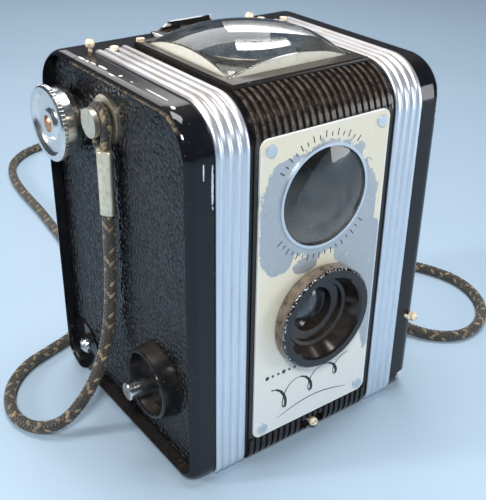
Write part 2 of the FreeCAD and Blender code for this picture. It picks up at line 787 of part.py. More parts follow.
for label, level in (("upper_film_roller", "roller_high"), ("lower_film_roller", "roller_low")):
    roller = joined(label + "_solid", [
        rod(label + "_drum", "x", "-32", "32", ("roller_depth", level), "roller_radius"),
        rod(label + "_axle", "x", "-37.9", "37.9", ("roller_depth", level), "0.8"),
    ])
    node(roller, label)


def spool(name, depth, level):
    """Metal roll-film spool with a bore in each end."""
    solid = joined(name + "_metal", [
        rod(name + "_core", "x", "-spool_half + 0.1", "spool_half - 0.1", (depth, level),
            "spool_core"),
        rod(name + "_flange_left", "x", "-spool_half", "-spool_half + 0.8", (depth, level),
            "spool_flange"),
        rod(name + "_flange_right", "x", "spool_half - 0.8", "spool_half", (depth, level),
            "spool_flange"),
    ])
    return cut(name, solid, [
        rod(name + "_bore_left", "x", "-spool_half - 1", "-spool_half + 3", (depth, level), "1.6"),
        rod(name + "_bore_right", "x", "spool_half - 3", "spool_half + 1", (depth, level), "1.6"),
        box(name + "_slit", ("-20", "20"), (depth + " - 0.5", depth + " + 0.5"),
            (level + " - 4", level + " + 4")),
    ])


TAKE = ("take_depth", "take_level")
SUPPLY = ("supply_depth", "supply_level")
node(spool("take_spool", *TAKE), "take_up_spool")
node(spool("supply", *SUPPLY), "supply_spool")


def spool_pin(name, sign, axis):
    """Pivot riveted in a side wall, reaching into the end of a spool."""
    inner, outer_end = ("-side_out", "-30.2") if sign else ("30.2", "side_out")
    shoulder = ("-side_in", "-33.4") if sign else ("33.4", "side_in")
    return joined(name, [rod(name + "_tip", "x", inner, outer_end, axis, "1.5"),
                         rod(name + "_shoulder", "x", shoulder[0], shoulder[1], axis, "3.0")])


for label, sign, axis in (("take_up_pivot", "", TAKE), ("supply_pivot_left", "-", SUPPLY),
                          ("supply_pivot_right", "", SUPPLY)):
    node(spool_pin(label + "_pin", sign, axis), label)

springs = []
for depth, level, low, high in (("supply_depth", "supply_level", "-7", "7"),
                                ("take_depth", "take_level", "-7", "7")):
    leaf = box("leaf_%d" % len(springs), ("side_in - 0.6", "side_in - 0.1"),
               (depth + " - 6", depth + " + 6"), (level + " + " + low, level + " + " + high))
    hole = rod("leaf_hole_%d" % len(springs), "x", "36", "39", (depth, level), "3.2")
    springs.append(cut("leaf_cut_%d" % len(springs), leaf, [hole]))
node(group("leaf_set", springs), "spool_springs")

# ---------------------------------------------------------------- winding knob

node(turned("bush", "x", TAKE, [
    ("2.45", "-42.1"), ("6.6", "-42.1"), ("6.6", "-side_out - leather"),
    ("6.0", "-side_out - leather"), ("6.0", "-37.6"), ("2.45", "-37.6"),
]), "winding_bush")
knob_body = turned("knob_body", "x", TAKE, [
    ("2.4", "-42.4"), ("knob_hub - 0.7", "-42.4"), ("knob_hub - 0.2", "-43.1"),
    ("knob_hub", "-44.6"), ("knob_hub - 0.3", "-47.4"), ("knob_radius", "-47.5"),
    ("knob_radius", "-48.6"), ("knob_radius - 0.6", "-knob_face"),
    ("knob_radius - 1.8", "-knob_face"), ("knob_radius - 2.6", "-48.1"), ("4.6", "-47.8"),
    ("3.8", "-48.7"), ("2.4", "-48.7"),
])
KNURLS = 60
notches = []
for notch in range(KNURLS):
    angle = 2 * math.pi * notch / KNURLS
    reach = size("knob_radius") + 0.12
    place_y = size("take_depth") + reach * math.cos(angle)
    place_z = size("take_level") + reach * math.sin(angle)
    notches.append(rod("notch_%d" % notch, "x", "-48.7", "-47.45",
                       ("%.4f" % place_y, "%.4f" % place_z), "0.32"))
node(cut("knob", knob_body, [group("knurl", notches)]), "winding_knob")
node(turned("shaft", "x", TAKE, [
    ("0", "-47"), ("2.4", "-47"), ("2.4", "-33.4"), ("1.5", "-33.4"), ("1.5", "-30.2"),
    ("0", "-30.2"),
]), "winding_shaft")
node(turned("knob_rivet_solid", "x", TAKE, [
    ("0", "-49.2"), ("1.6", "-49.1"), ("2.3", "-48.6"), ("2.3", "-47"), ("0", "-47"),
]), "knob_rivet")

# ---------------------------------------------------------------- leatherette panels


def side_panel(name, sign):
    """Leatherette inside the raised rim of one side."""
    span = ("-side_out - leather", "-side_out") if sign else ("side_out", "side_out + leather")
    holes = [
        rod(name + "_corner", "x", "-45", "45", HINGE, "corner_radius + 0.4"),
        rod(name + "_knob_hole", "x", "-45", "45", TAKE, "6.1"),
        rod(name + "_stud_hole", "x", "-45", "45", ("stud_depth", "stud_level"), "2.1"),
    ]
    if sign:
        holes.append(rod(name + "_release_hole", "x", "-45", "45", RELEASE, "5.9"))
    else:
        del holes[1]
    return cut(name, side_sheet(name + "_sheet", span, "0.4"), holes)


for label, panel in zip(("left_leatherette", "right_leatherette"),
                        both_sides("side_panel", side_panel)):
    node(panel, label)
back_sheet = box("back_sheet", ("-37", "37"), ("back", "back + 0.5"), ("13", "96"))
node(cut("back_panel", back_sheet, [
    rod("back_panel_hole", "y", "30", "45", ("0", "lens_level"), "window_radius + 2.6"),
]), "back_leatherette")

# ---------------------------------------------------------------- pins and tripod bush


def ball_pin(name, where, shank_low, shank_high):
    """Upright pin with a ball head."""
    return joined(name, [
        ball(name + "_head", where, "1.4"),
        rod(name + "_shank", "z", shank_low, shank_high, where[:2], "0.6"),
    ])


node(group("cover_pin_set", [
    ball_pin("cover_pin_left", ("-34.6", "20.8", "height + 1.3"), TOP, "height + 1.3"),
    ball_pin("cover_pin_right", ("19.8", "20.8", "height + 1.3"), TOP, "height + 1.3"),
]), "cover_pins")
node(joined("edge_pin_solid", [
    ball("edge_pin_head", ("40.5", "-40.7", "28.8"), "1.5"),
    rod("edge_pin_shank", "y", "-40.7", "-37.8", EDGE_PIN, "0.6"),
]), "edge_pin")
node(turned("tripod", "z", ("0", "tripod_depth"), [
    ("tripod_bore", "0.15"), ("6.0", "0.15"), ("6.0", "0.85"), ("5.0", "0.85"),
    ("5.0", "2.1"), ("6.4", "2.1"), ("6.4", "3.1"), ("4.4", "3.1"), ("4.4", "7.5"),
    ("tripod_bore", "7.5"),
]), "tripod_bush")

# ---------------------------------------------------------------- carrying strap


def strap_stud(name, sign):
    """Stud with a flange and a head that the strap's loop goes round."""
    reach = -1 if sign else 1
    steps = (("shank", 37.6, 40.0, "2.0"), ("flange", 40.0, 41.0, "6.7"),
             ("neck", 41.0, 44.5, "2.4"), ("head", 44.5, 46.0, "4.0"))
    rods = []
    for word, near, far, radius in steps:
        low, high = sorted((near * reach, far * reach))
        rods.append(rod("%s_%s" % (name, word), "x", str(low), str(high),
                        ("stud_depth", "stud_level"), radius))
    return joined(name, rods)


def ferrule(name, sign):
    """Crimped metal sleeve that joins the loop and the long cord."""
    cone = doc.addObject("Part::Cone", name)
    bind(cone, "Radius1", "2.2")
    bind(cone, "Radius2", "2.6")
    bind(cone, "Height", "ferrule_high - ferrule_low")
    return place(cone, ("%sferrule_side" % sign, "0", "ferrule_low"))


def strap_loop(name, sign):
    """Thin cord from the ferrule round the stud's neck and back."""
    side = worth("%sferrule_side" % sign) + (0.25 if sign else -0.25)
    centre = Vector(side, size("stud_depth"), size("stud_level"))
    radius = 2.4 + size("loop_cord") / 2 + 0.1
    level = size("ferrule_high") - 0.8

    def touch(foot, turn):
        """Tangent point on the loop's circle seen from a foot."""
        away = foot - centre
        bearing = math.atan2(away.z, away.y)
        angle = bearing + turn * math.acos(radius / away.Length)
        return centre + Vector(0, radius * math.cos(angle), radius * math.sin(angle))

    feet = [Vector(side, -1.25, level), Vector(side, 1.25, level)]
    first, last = touch(feet[0], -1), touch(feet[1], 1)
    top = centre + Vector(0, 0, radius)
    edges = [Part.LineSegment(feet[0], first).toShape(), Part.Arc(first, top, last).toShape(),
             Part.LineSegment(last, feet[1]).toShape()]
    return swept(name, edges, size("loop_cord") / 2)


for word, maker in (("strap_stud", strap_stud), ("strap_ferrule", ferrule),
                    ("strap_loop", strap_loop)):
    for side, piece in zip(("left", "right"), both_sides(word, maker)):
        node(piece, "%s_%s" % (word, side))

# The cord leaves the left ferrule, lies round behind the camera and rises to the right ferrule.
CORD_ROUTE = [
    (-43.0, 0.0, 72.4), (-43.0, 0.4, 59.0), (-43.3, 1.4, 45.0), (-44.4, 2.6, 31.5),
    (-48.6, 1.2, 21.5), (-54.6, 0.9, 12.5), (-62.5, 2.6, 4.6), (-69.3, 9.4, 2.1),
    (-71.6, 19.6, 2.0), (-67.6, 31.2, 2.0), (-58.2, 40.2, 2.0), (-46.6, 43.8, 2.0),
    (-35.6, 47.4, 2.0), (-26.0, 57.6, 2.0), (-19.4, 73.0, 2.0), (-13.0, 91.0, 2.0),
    (-8.4, 109.0, 2.0), (-6.0, 128.0, 2.0), (-3.6, 148.0, 2.0), (-2.4, 168.0, 2.0),
    (0.4, 187.0, 2.0), (6.4, 203.4, 2.0), (17.6, 214.0, 2.0), (32.6, 218.6, 2.0),
    (50.0, 216.0, 2.0), (67.0, 207.0, 2.0), (82.0, 192.0, 2.0), (94.0, 172.0, 2.0),
    (101.0, 149.0, 2.0), (104.4, 124.0, 2.0), (102.0, 99.0, 2.0), (96.4, 76.0, 2.0),
    (91.4, 54.0, 2.0), (91.6, 34.0, 2.0), (97.6, 17.4, 2.0), (104.4, 5.0, 2.0),
    (106.8, -8.0, 2.0), (102.0, -21.4, 2.0), (91.4, -31.0, 2.0), (78.4, -33.6, 2.0),
    (68.4, -26.6, 2.0), (63.0, -15.4, 3.2), (57.6, -6.6, 10.0), (51.8, -1.6, 20.0),
    (46.8, 0.4, 31.4), (43.8, 0.6, 45.0), (43.0, 0.2, 59.0), (43.0, 0.0, 72.4),
]


edges, radii = smooth_edges(CORD_ROUTE)
cord_length = sum(edge.Length for edge in edges)
cord_solid = swept("cord_tube", edges, size("cord") / 2)
node(cord_solid, "carrying_cord")
print("cord radii:", " ".join("%.0f" % radius for radius in radii))
print("cord length %.1f, volume over section times length %.4f" % (
    cord_length, cord_solid.Shape.Volume / (math.pi * size("cord") ** 2 / 4 * cord_length)))

# ---------------------------------------------------------------- check and export

doc.recompute()
failed = [thing.Name for thing in doc.Objects
          if "Invalid" in thing.State or "Error" in thing.State]
for piece in nodes:
    if piece.Shape.isNull() or not piece.Shape.isValid():
        failed.append(piece.Label)
if failed:
    raise RuntimeError("failed: " + ", ".join(failed))
for piece in nodes:
    piece.Shape.exportStep("parts/%s.step" % piece.Label)
    print("%-24s solids %d  volume %9.1f" % (piece.Label, len(piece.Shape.Solids),
                                            piece.Shape.Volume))
print("nodes:", len(nodes))
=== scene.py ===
"""Looks of the box reflex camera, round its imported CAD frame. Metres, +Z up, lenses face -Y."""

import math

import bmesh
import bpy
import numpy as np
from mathutils import Matrix, Vector


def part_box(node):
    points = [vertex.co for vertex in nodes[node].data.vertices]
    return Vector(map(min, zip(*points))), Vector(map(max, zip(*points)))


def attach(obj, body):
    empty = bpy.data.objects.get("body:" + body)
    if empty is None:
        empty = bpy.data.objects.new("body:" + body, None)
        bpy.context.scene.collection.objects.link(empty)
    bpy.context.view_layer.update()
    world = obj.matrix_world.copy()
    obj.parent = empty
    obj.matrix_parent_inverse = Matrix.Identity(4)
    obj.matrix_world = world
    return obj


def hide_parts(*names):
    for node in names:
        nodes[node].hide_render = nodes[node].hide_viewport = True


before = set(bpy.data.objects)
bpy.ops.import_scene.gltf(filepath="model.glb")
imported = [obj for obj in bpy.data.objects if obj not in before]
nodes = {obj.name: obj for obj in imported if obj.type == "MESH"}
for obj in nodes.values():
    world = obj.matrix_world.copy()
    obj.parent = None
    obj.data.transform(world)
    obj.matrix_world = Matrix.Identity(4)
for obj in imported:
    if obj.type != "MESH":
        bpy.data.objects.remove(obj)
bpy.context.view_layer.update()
MM = 0.001


def mm(*values):
    """Millimetres as a vector in metres."""
    return Vector(values) * MM


def add_object(name, data):
    """A new object in the scene."""
    thing = bpy.data.objects.new(name, data)
    bpy.context.scene.collection.objects.link(thing)
    return thing


# ---------------- camera

EYE = mm(-139.05, -191.36, 178.95)
BACKWARD = Vector((-0.5215, -0.7007, 0.4868)).normalized()
ROLL = math.radians(0.933)
FOCAL_PIXELS = 858.19
LONG_SIDE_PIXELS = 500
SENSOR = 36.0
CLIP_NEAR, CLIP_FAR = 0.01, 10


def make_camera():
    """The viewing camera, from its place, the direction it looks back along and its roll."""
    level = Vector((0, 0, 1)).cross(BACKWARD).normalized()
    upright = BACKWARD.cross(level)
    right = level * math.cos(ROLL) + upright * math.sin(ROLL)
    up = upright * math.cos(ROLL) - level * math.sin(ROLL)
    lens = bpy.data.cameras.new("view")
    lens.sensor_width = SENSOR
    lens.lens = FOCAL_PIXELS * SENSOR / LONG_SIDE_PIXELS
    lens.clip_start = CLIP_NEAR
    lens.clip_end = CLIP_FAR
    holder = add_object("view", lens)
    turn = Matrix((right, up, BACKWARD)).transposed()
    holder.matrix_world = Matrix.Translation(EYE) @ turn.to_4x4()
    bpy.context.scene.camera = holder


make_camera()

# ---------------- mesh helpers


def mesh_object(name, points, faces, paints, smooth=True):
    """A new mesh in the scene."""
    mesh = bpy.data.meshes.new(name)
    mesh.from_pydata([tuple(point) for point in points], [], faces)
    for paint in paints:
        mesh.materials.append(paint)
    mesh.polygons.foreach_set("use_smooth", [smooth] * len(faces))
    mesh.update()
    return add_object(name, mesh)


def piece(name, points, faces, paints, smooth=True, face_paint=None):
    """A new mesh piece fixed to the case. face_paint gives each face's place in paints."""
    thing = mesh_object(name, points, faces, paints, smooth)
    if face_paint is not None:
        thing.data.polygons.foreach_set("material_index", face_paint)
        thing.data.update()
    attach(thing, "camera")
    return thing


def face_outward(thing):
    """Turns the faces of a closed mesh outward."""
    shell = bmesh.new()
    shell.from_mesh(thing.data)
    bmesh.ops.recalc_face_normals(shell, faces=shell.faces)
    shell.to_mesh(thing.data)
    shell.free()


def tube_faces(rings, sides, first=0):
    """Quads between rings of points, and a face over each end."""
    faces = []
    for ring in range(rings - 1):
        for side in range(sides):
            a = first + ring * sides + side
            b = first + ring * sides + (side + 1) % sides
            faces.append((a, b, b + sides, a + sides))
    faces.append(tuple(first + side for side in reversed(range(sides))))
    last = first + (rings - 1) * sides
    faces.append(tuple(last + side for side in range(sides)))
    return faces


def even_line(points, step):
    """The same line with points a given distance apart, and how far along each is."""
    points = np.array(points, float)
    gone = np.concatenate([[0], np.cumsum(np.linalg.norm(np.diff(points, axis=0), axis=1))])
    at = np.linspace(0, gone[-1], max(2, round(gone[-1] / step) + 1))
    line = np.stack([np.interp(at, gone, points[:, axis]) for axis in range(3)], axis=1)
    return line, at


def line_frames(line):
    """Direction of a line at each point, and two across it, carried along without twist."""
    along = np.gradient(line, axis=0)
    along /= np.linalg.norm(along, axis=1)[:, None]
    start = np.cross(along[0], (1.0, 0.0, 0.0))
    if np.linalg.norm(start) < 0.1:
        start = np.cross(along[0], (0.0, 1.0, 0.0))
    sides = [start / np.linalg.norm(start)]
    for tangent in along[1:]:
        side = sides[-1] - tangent * (sides[-1] @ tangent)
        sides.append(side / np.linalg.norm(side))
    sides = np.array(sides)
    return along, sides, np.cross(along, sides)


# A braid's strands, as shares of its radius: rise at a crossing, width and half thickness.
STRAND_WAVE, STRAND_WIDTH, STRAND_HEIGHT = 0.07, 0.86, 0.17
LIGHT_EVERY = 5
CORE_SIDES = 8


def braid(name, points, radius, strands, pitch, step):
    """Tubular braid: strands turn both ways round the line and pass over two, under two."""
    line, gone = even_line(points, step)
    along, across, other = line_frames(line)
    wave = STRAND_WAVE * radius
    half_width = STRAND_WIDTH * math.pi * radius / strands
    half_height = STRAND_HEIGHT * radius
    middle = radius - half_height - wave
    vertices, faces, face_paint = [], [], []
    for turn in (1, -1):
        for strand in range(strands):
            angle = turn * 2 * math.pi * gone / pitch + 2 * math.pi * strand / strands
            crossing = 2 * strand + turn * 2 * strands * gone / pitch
            lift = middle + turn * wave * np.cos(math.pi * (crossing - 0.5) / 2)
            out = across * np.cos(angle)[:, None] + other * np.sin(angle)[:, None]
            round_it = other * np.cos(angle)[:, None] - across * np.sin(angle)[:, None]
            slope = 2 * math.pi * middle / pitch
            sideways = round_it - turn * slope * along
            sideways /= np.linalg.norm(sideways, axis=1)[:, None]
            centre = line + out * lift[:, None]
            ring = [centre + sideways * half_width, centre + out * half_height,
                    centre - sideways * half_width, centre - out * half_height]
            first = len(vertices)
            vertices.extend(np.stack(ring, axis=1).reshape(-1, 3))
            made = tube_faces(len(line), 4, first=first)
            light = (strand * (2 if turn == 1 else 1) + (turn < 0)) % LIGHT_EVERY == 0
            faces.extend(made)
            face_paint.extend([int(light)] * len(made))
    first = len(vertices)
    for place, side, up in zip(line[::2], across[::2], other[::2]):
        for k in range(CORE_SIDES):
            bearing = 2 * math.pi * k / CORE_SIDES
            reach = side * math.cos(bearing) + up * math.sin(bearing)
            vertices.append(place + reach * (middle - half_height))
    made = tube_faces(len(line[::2]), CORE_SIDES, first=first)
    faces.extend(made)
    face_paint.extend([0] * len(made))
    return piece(name, vertices, faces, [yarn_dark, yarn_light],
                 face_paint=face_paint)


# ---------------- material helpers


class Paint:
    """A node material on one Principled shader, with short names for the nodes it needs."""

    def __init__(self, name, colour, **sockets):
        self.made = bpy.data.materials.new(name)
        self.made.use_nodes = True
        self.tree = self.made.node_tree
        self.shader = self.tree.nodes["Principled BSDF"]
        self.shader.inputs["Base Color"].default_value = (*colour, 1)
        for socket, value in sockets.items():
            self.shader.inputs[socket.replace("_", " ")].default_value = value
        self.place = self.node("ShaderNodeTexCoord").outputs["Object"]

    def node(self, kind, **settings):
        """A new node with those settings."""
        made = self.tree.nodes.new(kind)
        for key, value in settings.items():
            setattr(made, key, value)
        return made

    def feed(self, socket, value):
        """Link an output, or set a number, vector or colour."""
        if isinstance(value, bpy.types.NodeSocket):
            self.tree.links.new(value, socket)
        elif hasattr(value, "__len__") and len(value) == 3 and socket.type == "RGBA":
            socket.default_value = (*value, 1)
        else:
            socket.default_value = value

    def math(self, operation, a, b=0.0, c=0.0):
        """Result of a Math node."""
        made = self.node("ShaderNodeMath", operation=operation)
        for socket, value in zip(made.inputs, (a, b, c)):
            self.feed(socket, value)
        return made.outputs[0]

    def scaled(self, value, gain, offset):
        """A value times gain, plus offset."""
        return self.math("MULTIPLY_ADD", value, gain, offset)

    def vector(self, operation, *values, output="Vector"):
        """Result of a Vector Math node."""
        made = self.node("ShaderNodeVectorMath", operation=operation)
        for socket, value in zip(made.inputs, values):
            self.feed(socket, value)
        return made.outputs[output]

    def stretched(self, scale):
        """The place, scaled by a vector."""
        return self.vector("MULTIPLY", self.place, scale)

    def noise(self, size_mm, detail=3.0, rough=0.55, warp=0.0, stretch=None):
        """Noise whose features are about size_mm across, from 0 to 1."""
        made = self.node("ShaderNodeTexNoise")
        self.feed(made.inputs["Vector"], self.stretched(stretch) if stretch else self.place)
        made.inputs["Scale"].default_value = 1 / (size_mm * MM)
        made.inputs["Detail"].default_value = detail
        made.inputs["Roughness"].default_value = rough
        made.inputs["Distortion"].default_value = warp
        return made.outputs["Fac"]

    def patches(self, size_mm, detail, low, high, rough=0.55):
        """Noise cut to soft-edged patches, from 0 to 1."""
        return self.step(self.noise(size_mm, detail, rough), low, high)

    def cells(self, size_mm, feature="F1", stretch=None, warp=None):
        """Distance in a cell pattern. warp bends the cells by a noise of that size in mm."""
        made = self.node("ShaderNodeTexVoronoi", feature=feature)
        where = self.stretched(stretch) if stretch else self.place
        if warp:
            bend = self.node("ShaderNodeTexNoise")
            self.feed(bend.inputs["Vector"], self.place)
            bend.inputs["Scale"].default_value = 1 / (warp * MM)
            reach = (size_mm * MM,) * 3
            where = self.vector("MULTIPLY_ADD", bend.outputs["Color"], reach, where)
        self.feed(made.inputs["Vector"], where)
        made.inputs["Scale"].default_value = 1 / (size_mm * MM)
        return made.outputs["Distance"]

    def axis(self, letter):
        """One coordinate in metres."""
        made = self.node("ShaderNodeSeparateXYZ")
        self.feed(made.inputs[0], self.place)
        return made.outputs[letter]

    def facing(self, letter):
        """One component of the surface's normal."""
        made = self.node("ShaderNodeSeparateXYZ")
        self.feed(made.inputs[0], self.node("ShaderNodeNewGeometry").outputs["Normal"])
        return made.outputs[letter]

    def span(self, letter, low, high):
        """0 where a coordinate is below low and 1 where it is above high, in metres."""
        return self.step(self.axis(letter), low, high)

    def step(self, value, low, high):
        """0 below low, 1 above high and smooth between. low may be above high."""
        made = self.node("ShaderNodeMapRange", interpolation_type="SMOOTHSTEP")
        self.feed(made.inputs["Value"], value)
        turned = low > high
        made.inputs["From Min"].default_value = min(low, high)
        made.inputs["From Max"].default_value = max(low, high)
        made.inputs["To Min"].default_value = float(turned)
        made.inputs["To Max"].default_value = float(not turned)
        return made.outputs["Result"]

    def spot(self, centre, radii):
        """Squashed distance from a place in mm: 1 on an ellipsoid with those radii."""
        away = self.vector("SUBTRACT", self.place, mm(*centre))
        scaled = self.vector("DIVIDE", away, mm(*radii))
        return self.vector("LENGTH", scaled, output="Value")

    def mix(self, share, a, b):
        """Colour between a and b."""
        made = self.node("ShaderNodeMix", data_type="RGBA")
        self.feed(made.inputs["Factor"], share)
        self.feed(made.inputs[6], a)
        self.feed(made.inputs[7], b)
        return made.outputs[2]

    def blend(self, share, a, b):
        """Number between a and b."""
        made = self.node("ShaderNodeMix", data_type="FLOAT")
        self.feed(made.inputs["Factor"], share)
        self.feed(made.inputs[2], a)
        self.feed(made.inputs[3], b)
        return made.outputs[0]

    def any(self, *shares):
        """The largest of several shares."""
        most = shares[0]
        for share in shares[1:]:
            most = self.math("MAXIMUM", most, share)
        return most

    def both(self, a, b):
        """Two shares together."""
        return self.math("MULTIPLY", a, b)

    def bump(self, height, depth_mm, strength=1.0, after=None):
        """Surface relief: height 0 to 1 stands for that depth."""
        made = self.node("ShaderNodeBump")
        made.inputs["Strength"].default_value = strength
        made.inputs["Distance"].default_value = depth_mm * MM
        self.feed(made.inputs["Height"], height)
        if after is not None:
            self.feed(made.inputs["Normal"], after)
        return made.outputs["Normal"]

    def set(self, **links):
        """Links or sets the shader's sockets, and gives the material."""
        for socket, value in links.items():
            self.feed(self.shader.inputs[socket.replace("_", " ")], value)
        return self.made

    def finish(self, shade, shine, relief, **links):
        """Colour, roughness and normal, and any more sockets."""
        return self.set(Base_Color=shade, Roughness=shine, Normal=relief, **links)


# ---------------- materials

DUST = (0.30, 0.235, 0.175)
PALE_DUST = (0.62, 0.55, 0.45)
BARE = (0.74, 0.74, 0.76)

# Where the black enamel is chipped to bare metal: centre and radii in mm.
CHIPS = [
    ((42.3, -37.8, 97.6), (1.8, 1.5, 5.0)),
    ((40.0, -38.3, 5.2), (2.2, 1.6, 2.0)),
    ((-35.0, -39.2, 93.0), (0.32, 1.5, 6.5)),
    ((-37.5, -39.2, 97.5), (0.22, 1.5, 2.6)),
    ((-39.4, 16.6, 111.0), (0.42, 1.9, 0.8)),
    ((-39.4, 13.4, 111.0), (0.40, 0.9, 0.8)),
    ((-39.1, 10.6, 111.1), (0.34, 1.5, 0.8)),
    ((-38.7, 6.0, 111.1), (0.50, 2.6, 0.8)),
    ((-39.7, -0.6, 111.0), (0.34, 1.7, 0.8)),
    ((-38.4, -2.8, 111.1), (0.55, 0.7, 0.8)),
    ((-38.4, -8.6, 111.1), (0.26, 0.5, 0.8)),
    ((-38.2, -20.5, 111.1), (0.30, 6.0, 0.8)),
    ((-39.5, -29.5, 110.5), (0.55, 0.9, 1.2)),
]


def enamel(name, colour, chips=(), dust=0.5, rough=0.16):
    """Black stoving enamel: glossy, dusty, with specks and a few chips to bare metal."""
    paint = Paint(name, colour, Specular_IOR_Level=0.36)
    film = paint.both(paint.patches(6.0, 4, 0.50, 0.80), dust)
    settled = paint.both(paint.step(paint.facing("Z"), 0.80, 1.0), dust)
    grit = paint.patches(0.30, 1.0, 0.735, 0.78)
    specks = paint.patches(0.50, 0.5, 0.785, 0.805)
    cover = paint.scaled(grit, 0.30 * dust, paint.both(film, 0.07))
    cover = paint.scaled(settled, 0.10, cover)
    shade = paint.mix(cover, colour, DUST)
    shade = paint.mix(paint.both(specks, 0.5 * dust), shade, PALE_DUST)
    shine = paint.blend(cover, rough, 0.62)
    worn = 0.0
    if chips:
        torn = paint.scaled(paint.noise(0.8, 3), 1.3, -0.60)
        worn = paint.any(*[paint.step(paint.math("ADD", paint.spot(*chip), torn), 1.0, 0.93)
                           for chip in chips])
        shade = paint.mix(worn, shade, BARE)
        shine = paint.blend(worn, shine, 0.38)
        paint.set(Metallic=paint.both(worn, 0.25))
    relief = paint.bump(paint.math("SUBTRACT", paint.noise(5.0, 2), worn), 0.02, 0.5)
    paint.finish(shade, shine, relief)
    return paint


def case_enamel():
    """Case enamel with dust along the flank above and before each side panel."""
    paint = enamel("case_enamel", (0.006, 0.0065, 0.009), CHIPS, dust=0.45, rough=0.085)
    outside = paint.step(paint.math("ABSOLUTE", paint.axis("X")), 0.0412, 0.0424)
    level = paint.axis("Z")
    band = paint.both(paint.step(level, 0.1062, 0.1078), paint.step(level, 0.1106, 0.1096))
    before_seam = paint.span("Y", 0.0186, 0.0184)
    patchy = paint.patches(1.1, 4, 0.30, 0.62)
    share = paint.both(paint.both(band, outside), paint.both(patchy, before_seam))
    socket = paint.shader.inputs["Base Color"]
    before = socket.links[0].from_socket
    return paint.set(Base_Color=paint.mix(paint.both(share, 0.55), before, (0.42, 0.33, 0.24)))


# Where brown dust has settled on the left covering: centre and radii in mm, and where it fades.
LEATHER_DUST = [
    ((-40, -20, 84), (6, 14, 32), (1.2, 0.3)),
    ((-40, 4, 102), (6, 24, 9), (1.3, 0.4)),
    ((-40, -19, 30), (6, 17, 17), (1.0, 0.6)),
]


def leather_dust(paint):
    """Share of settled dust at a place on the covering."""
    return paint.any(*[paint.step(paint.spot(centre, radii), *fade)
                       for centre, radii, fade in LEATHER_DUST])


def leatherette():
    """Black pebbled cloth covering: rounded, creased grains with brown dust between them."""
    black = (0.006, 0.006, 0.008)
    paint = Paint("leatherette", black, Specular_IOR_Level=0.5)
    grain = paint.step(paint.cells(1.5, "DISTANCE_TO_EDGE", (1, 1.25, 0.8), 1.6), 0.0, 0.30)
    creases = paint.step(paint.noise(0.9, 3, 0.6, 1.4), 0.34, 0.66)
    swell = paint.noise(9.0, 2)
    height = paint.scaled(creases, 0.5, paint.both(grain, 0.7))
    low = paint.step(height, 0.75, 0.25)
    dusty = paint.both(paint.both(low, paint.scaled(leather_dust(paint), 0.20, 0.02)),
                       paint.step(swell, 0.30, 0.62))
    grit = paint.both(paint.patches(0.35, 0.5, 0.75, 0.79), 0.22)
    shade = paint.mix(paint.any(dusty, grit), black, DUST)
    relief = paint.bump(height, 0.45, 1.0)
    relief = paint.bump(swell, 0.25, 0.5, relief)
    shine = paint.scaled(paint.noise(0.8, 2), 0.16, 0.20)
    return paint.finish(shade, shine, relief)


def grained_leatherette():
    """The same cloth where its grain is real relief: only fine creases and dust are added."""
    black = (0.004, 0.004, 0.005)
    paint = Paint("grained_leatherette", black, Specular_IOR_Level=0.34)
    grit = paint.patches(0.7, 2, 0.52, 0.72)
    dusty = paint.both(grit, paint.scaled(leather_dust(paint), 0.14, 0.01))
    shade = paint.mix(dusty, black, DUST)
    relief = paint.bump(paint.noise(0.5, 2), 0.02, 0.6)
    shine = paint.scaled(paint.noise(3.0, 2), 0.14, 0.17)
    return paint.finish(shade, shine, relief)


def trim_aluminium():
    """Drawn aluminium bands: fine lengthwise lines, grime in the grooves, dust on the top."""
    paint = Paint("trim_aluminium", (0.80, 0.82, 0.85), Metallic=0.9)
    band_in, pitch, groove = 24.3, 2.65, 0.6
    aside = paint.math("ABSOLUTE", paint.axis("X"))
    across = paint.math("SUBTRACT", aside, (band_in - groove) * MM)
    phase = paint.math("MODULO", across, pitch * MM)
    gap = paint.any(paint.step(phase, (groove + 0.30) * MM, (groove - 0.10) * MM),
                    paint.step(phase, (pitch - 0.30) * MM, (pitch - 0.02) * MM))
    streaks = paint.noise(0.45, 3, 0.6, stretch=(1, 0.04, 0.04))
    patches = paint.patches(6.0, 4, 0.38, 0.72)
    top = paint.both(paint.step(paint.facing("Z"), 0.3, 0.9), paint.span("Z", 0.09, 0.105))
    grime = paint.both(gap, paint.scaled(patches, 0.35, 0.25))
    grime = paint.both(grime, paint.scaled(top, 0.75, 0.25))
    shade = paint.mix(streaks, (0.66, 0.72, 0.80), (0.82, 0.86, 0.92))
    shade = paint.mix(paint.both(top, paint.scaled(patches, 0.4, 0.45)), shade,
                      (0.70, 0.61, 0.54))
    shade = paint.mix(grime, shade, (0.17, 0.12, 0.09))
    nicks = paint.patches(0.7, 2, 0.70, 0.76)
    shade = paint.mix(paint.both(nicks, 0.45), shade, (0.55, 0.50, 0.44))
    shine = paint.scaled(paint.noise(1.5, 3), 0.20, 0.26)
    shine = paint.blend(paint.any(grime, paint.both(top, 0.5)), shine, 0.6)
    relief = paint.bump(streaks, 0.02, 0.4)
    return paint.finish(shade, shine, relief)


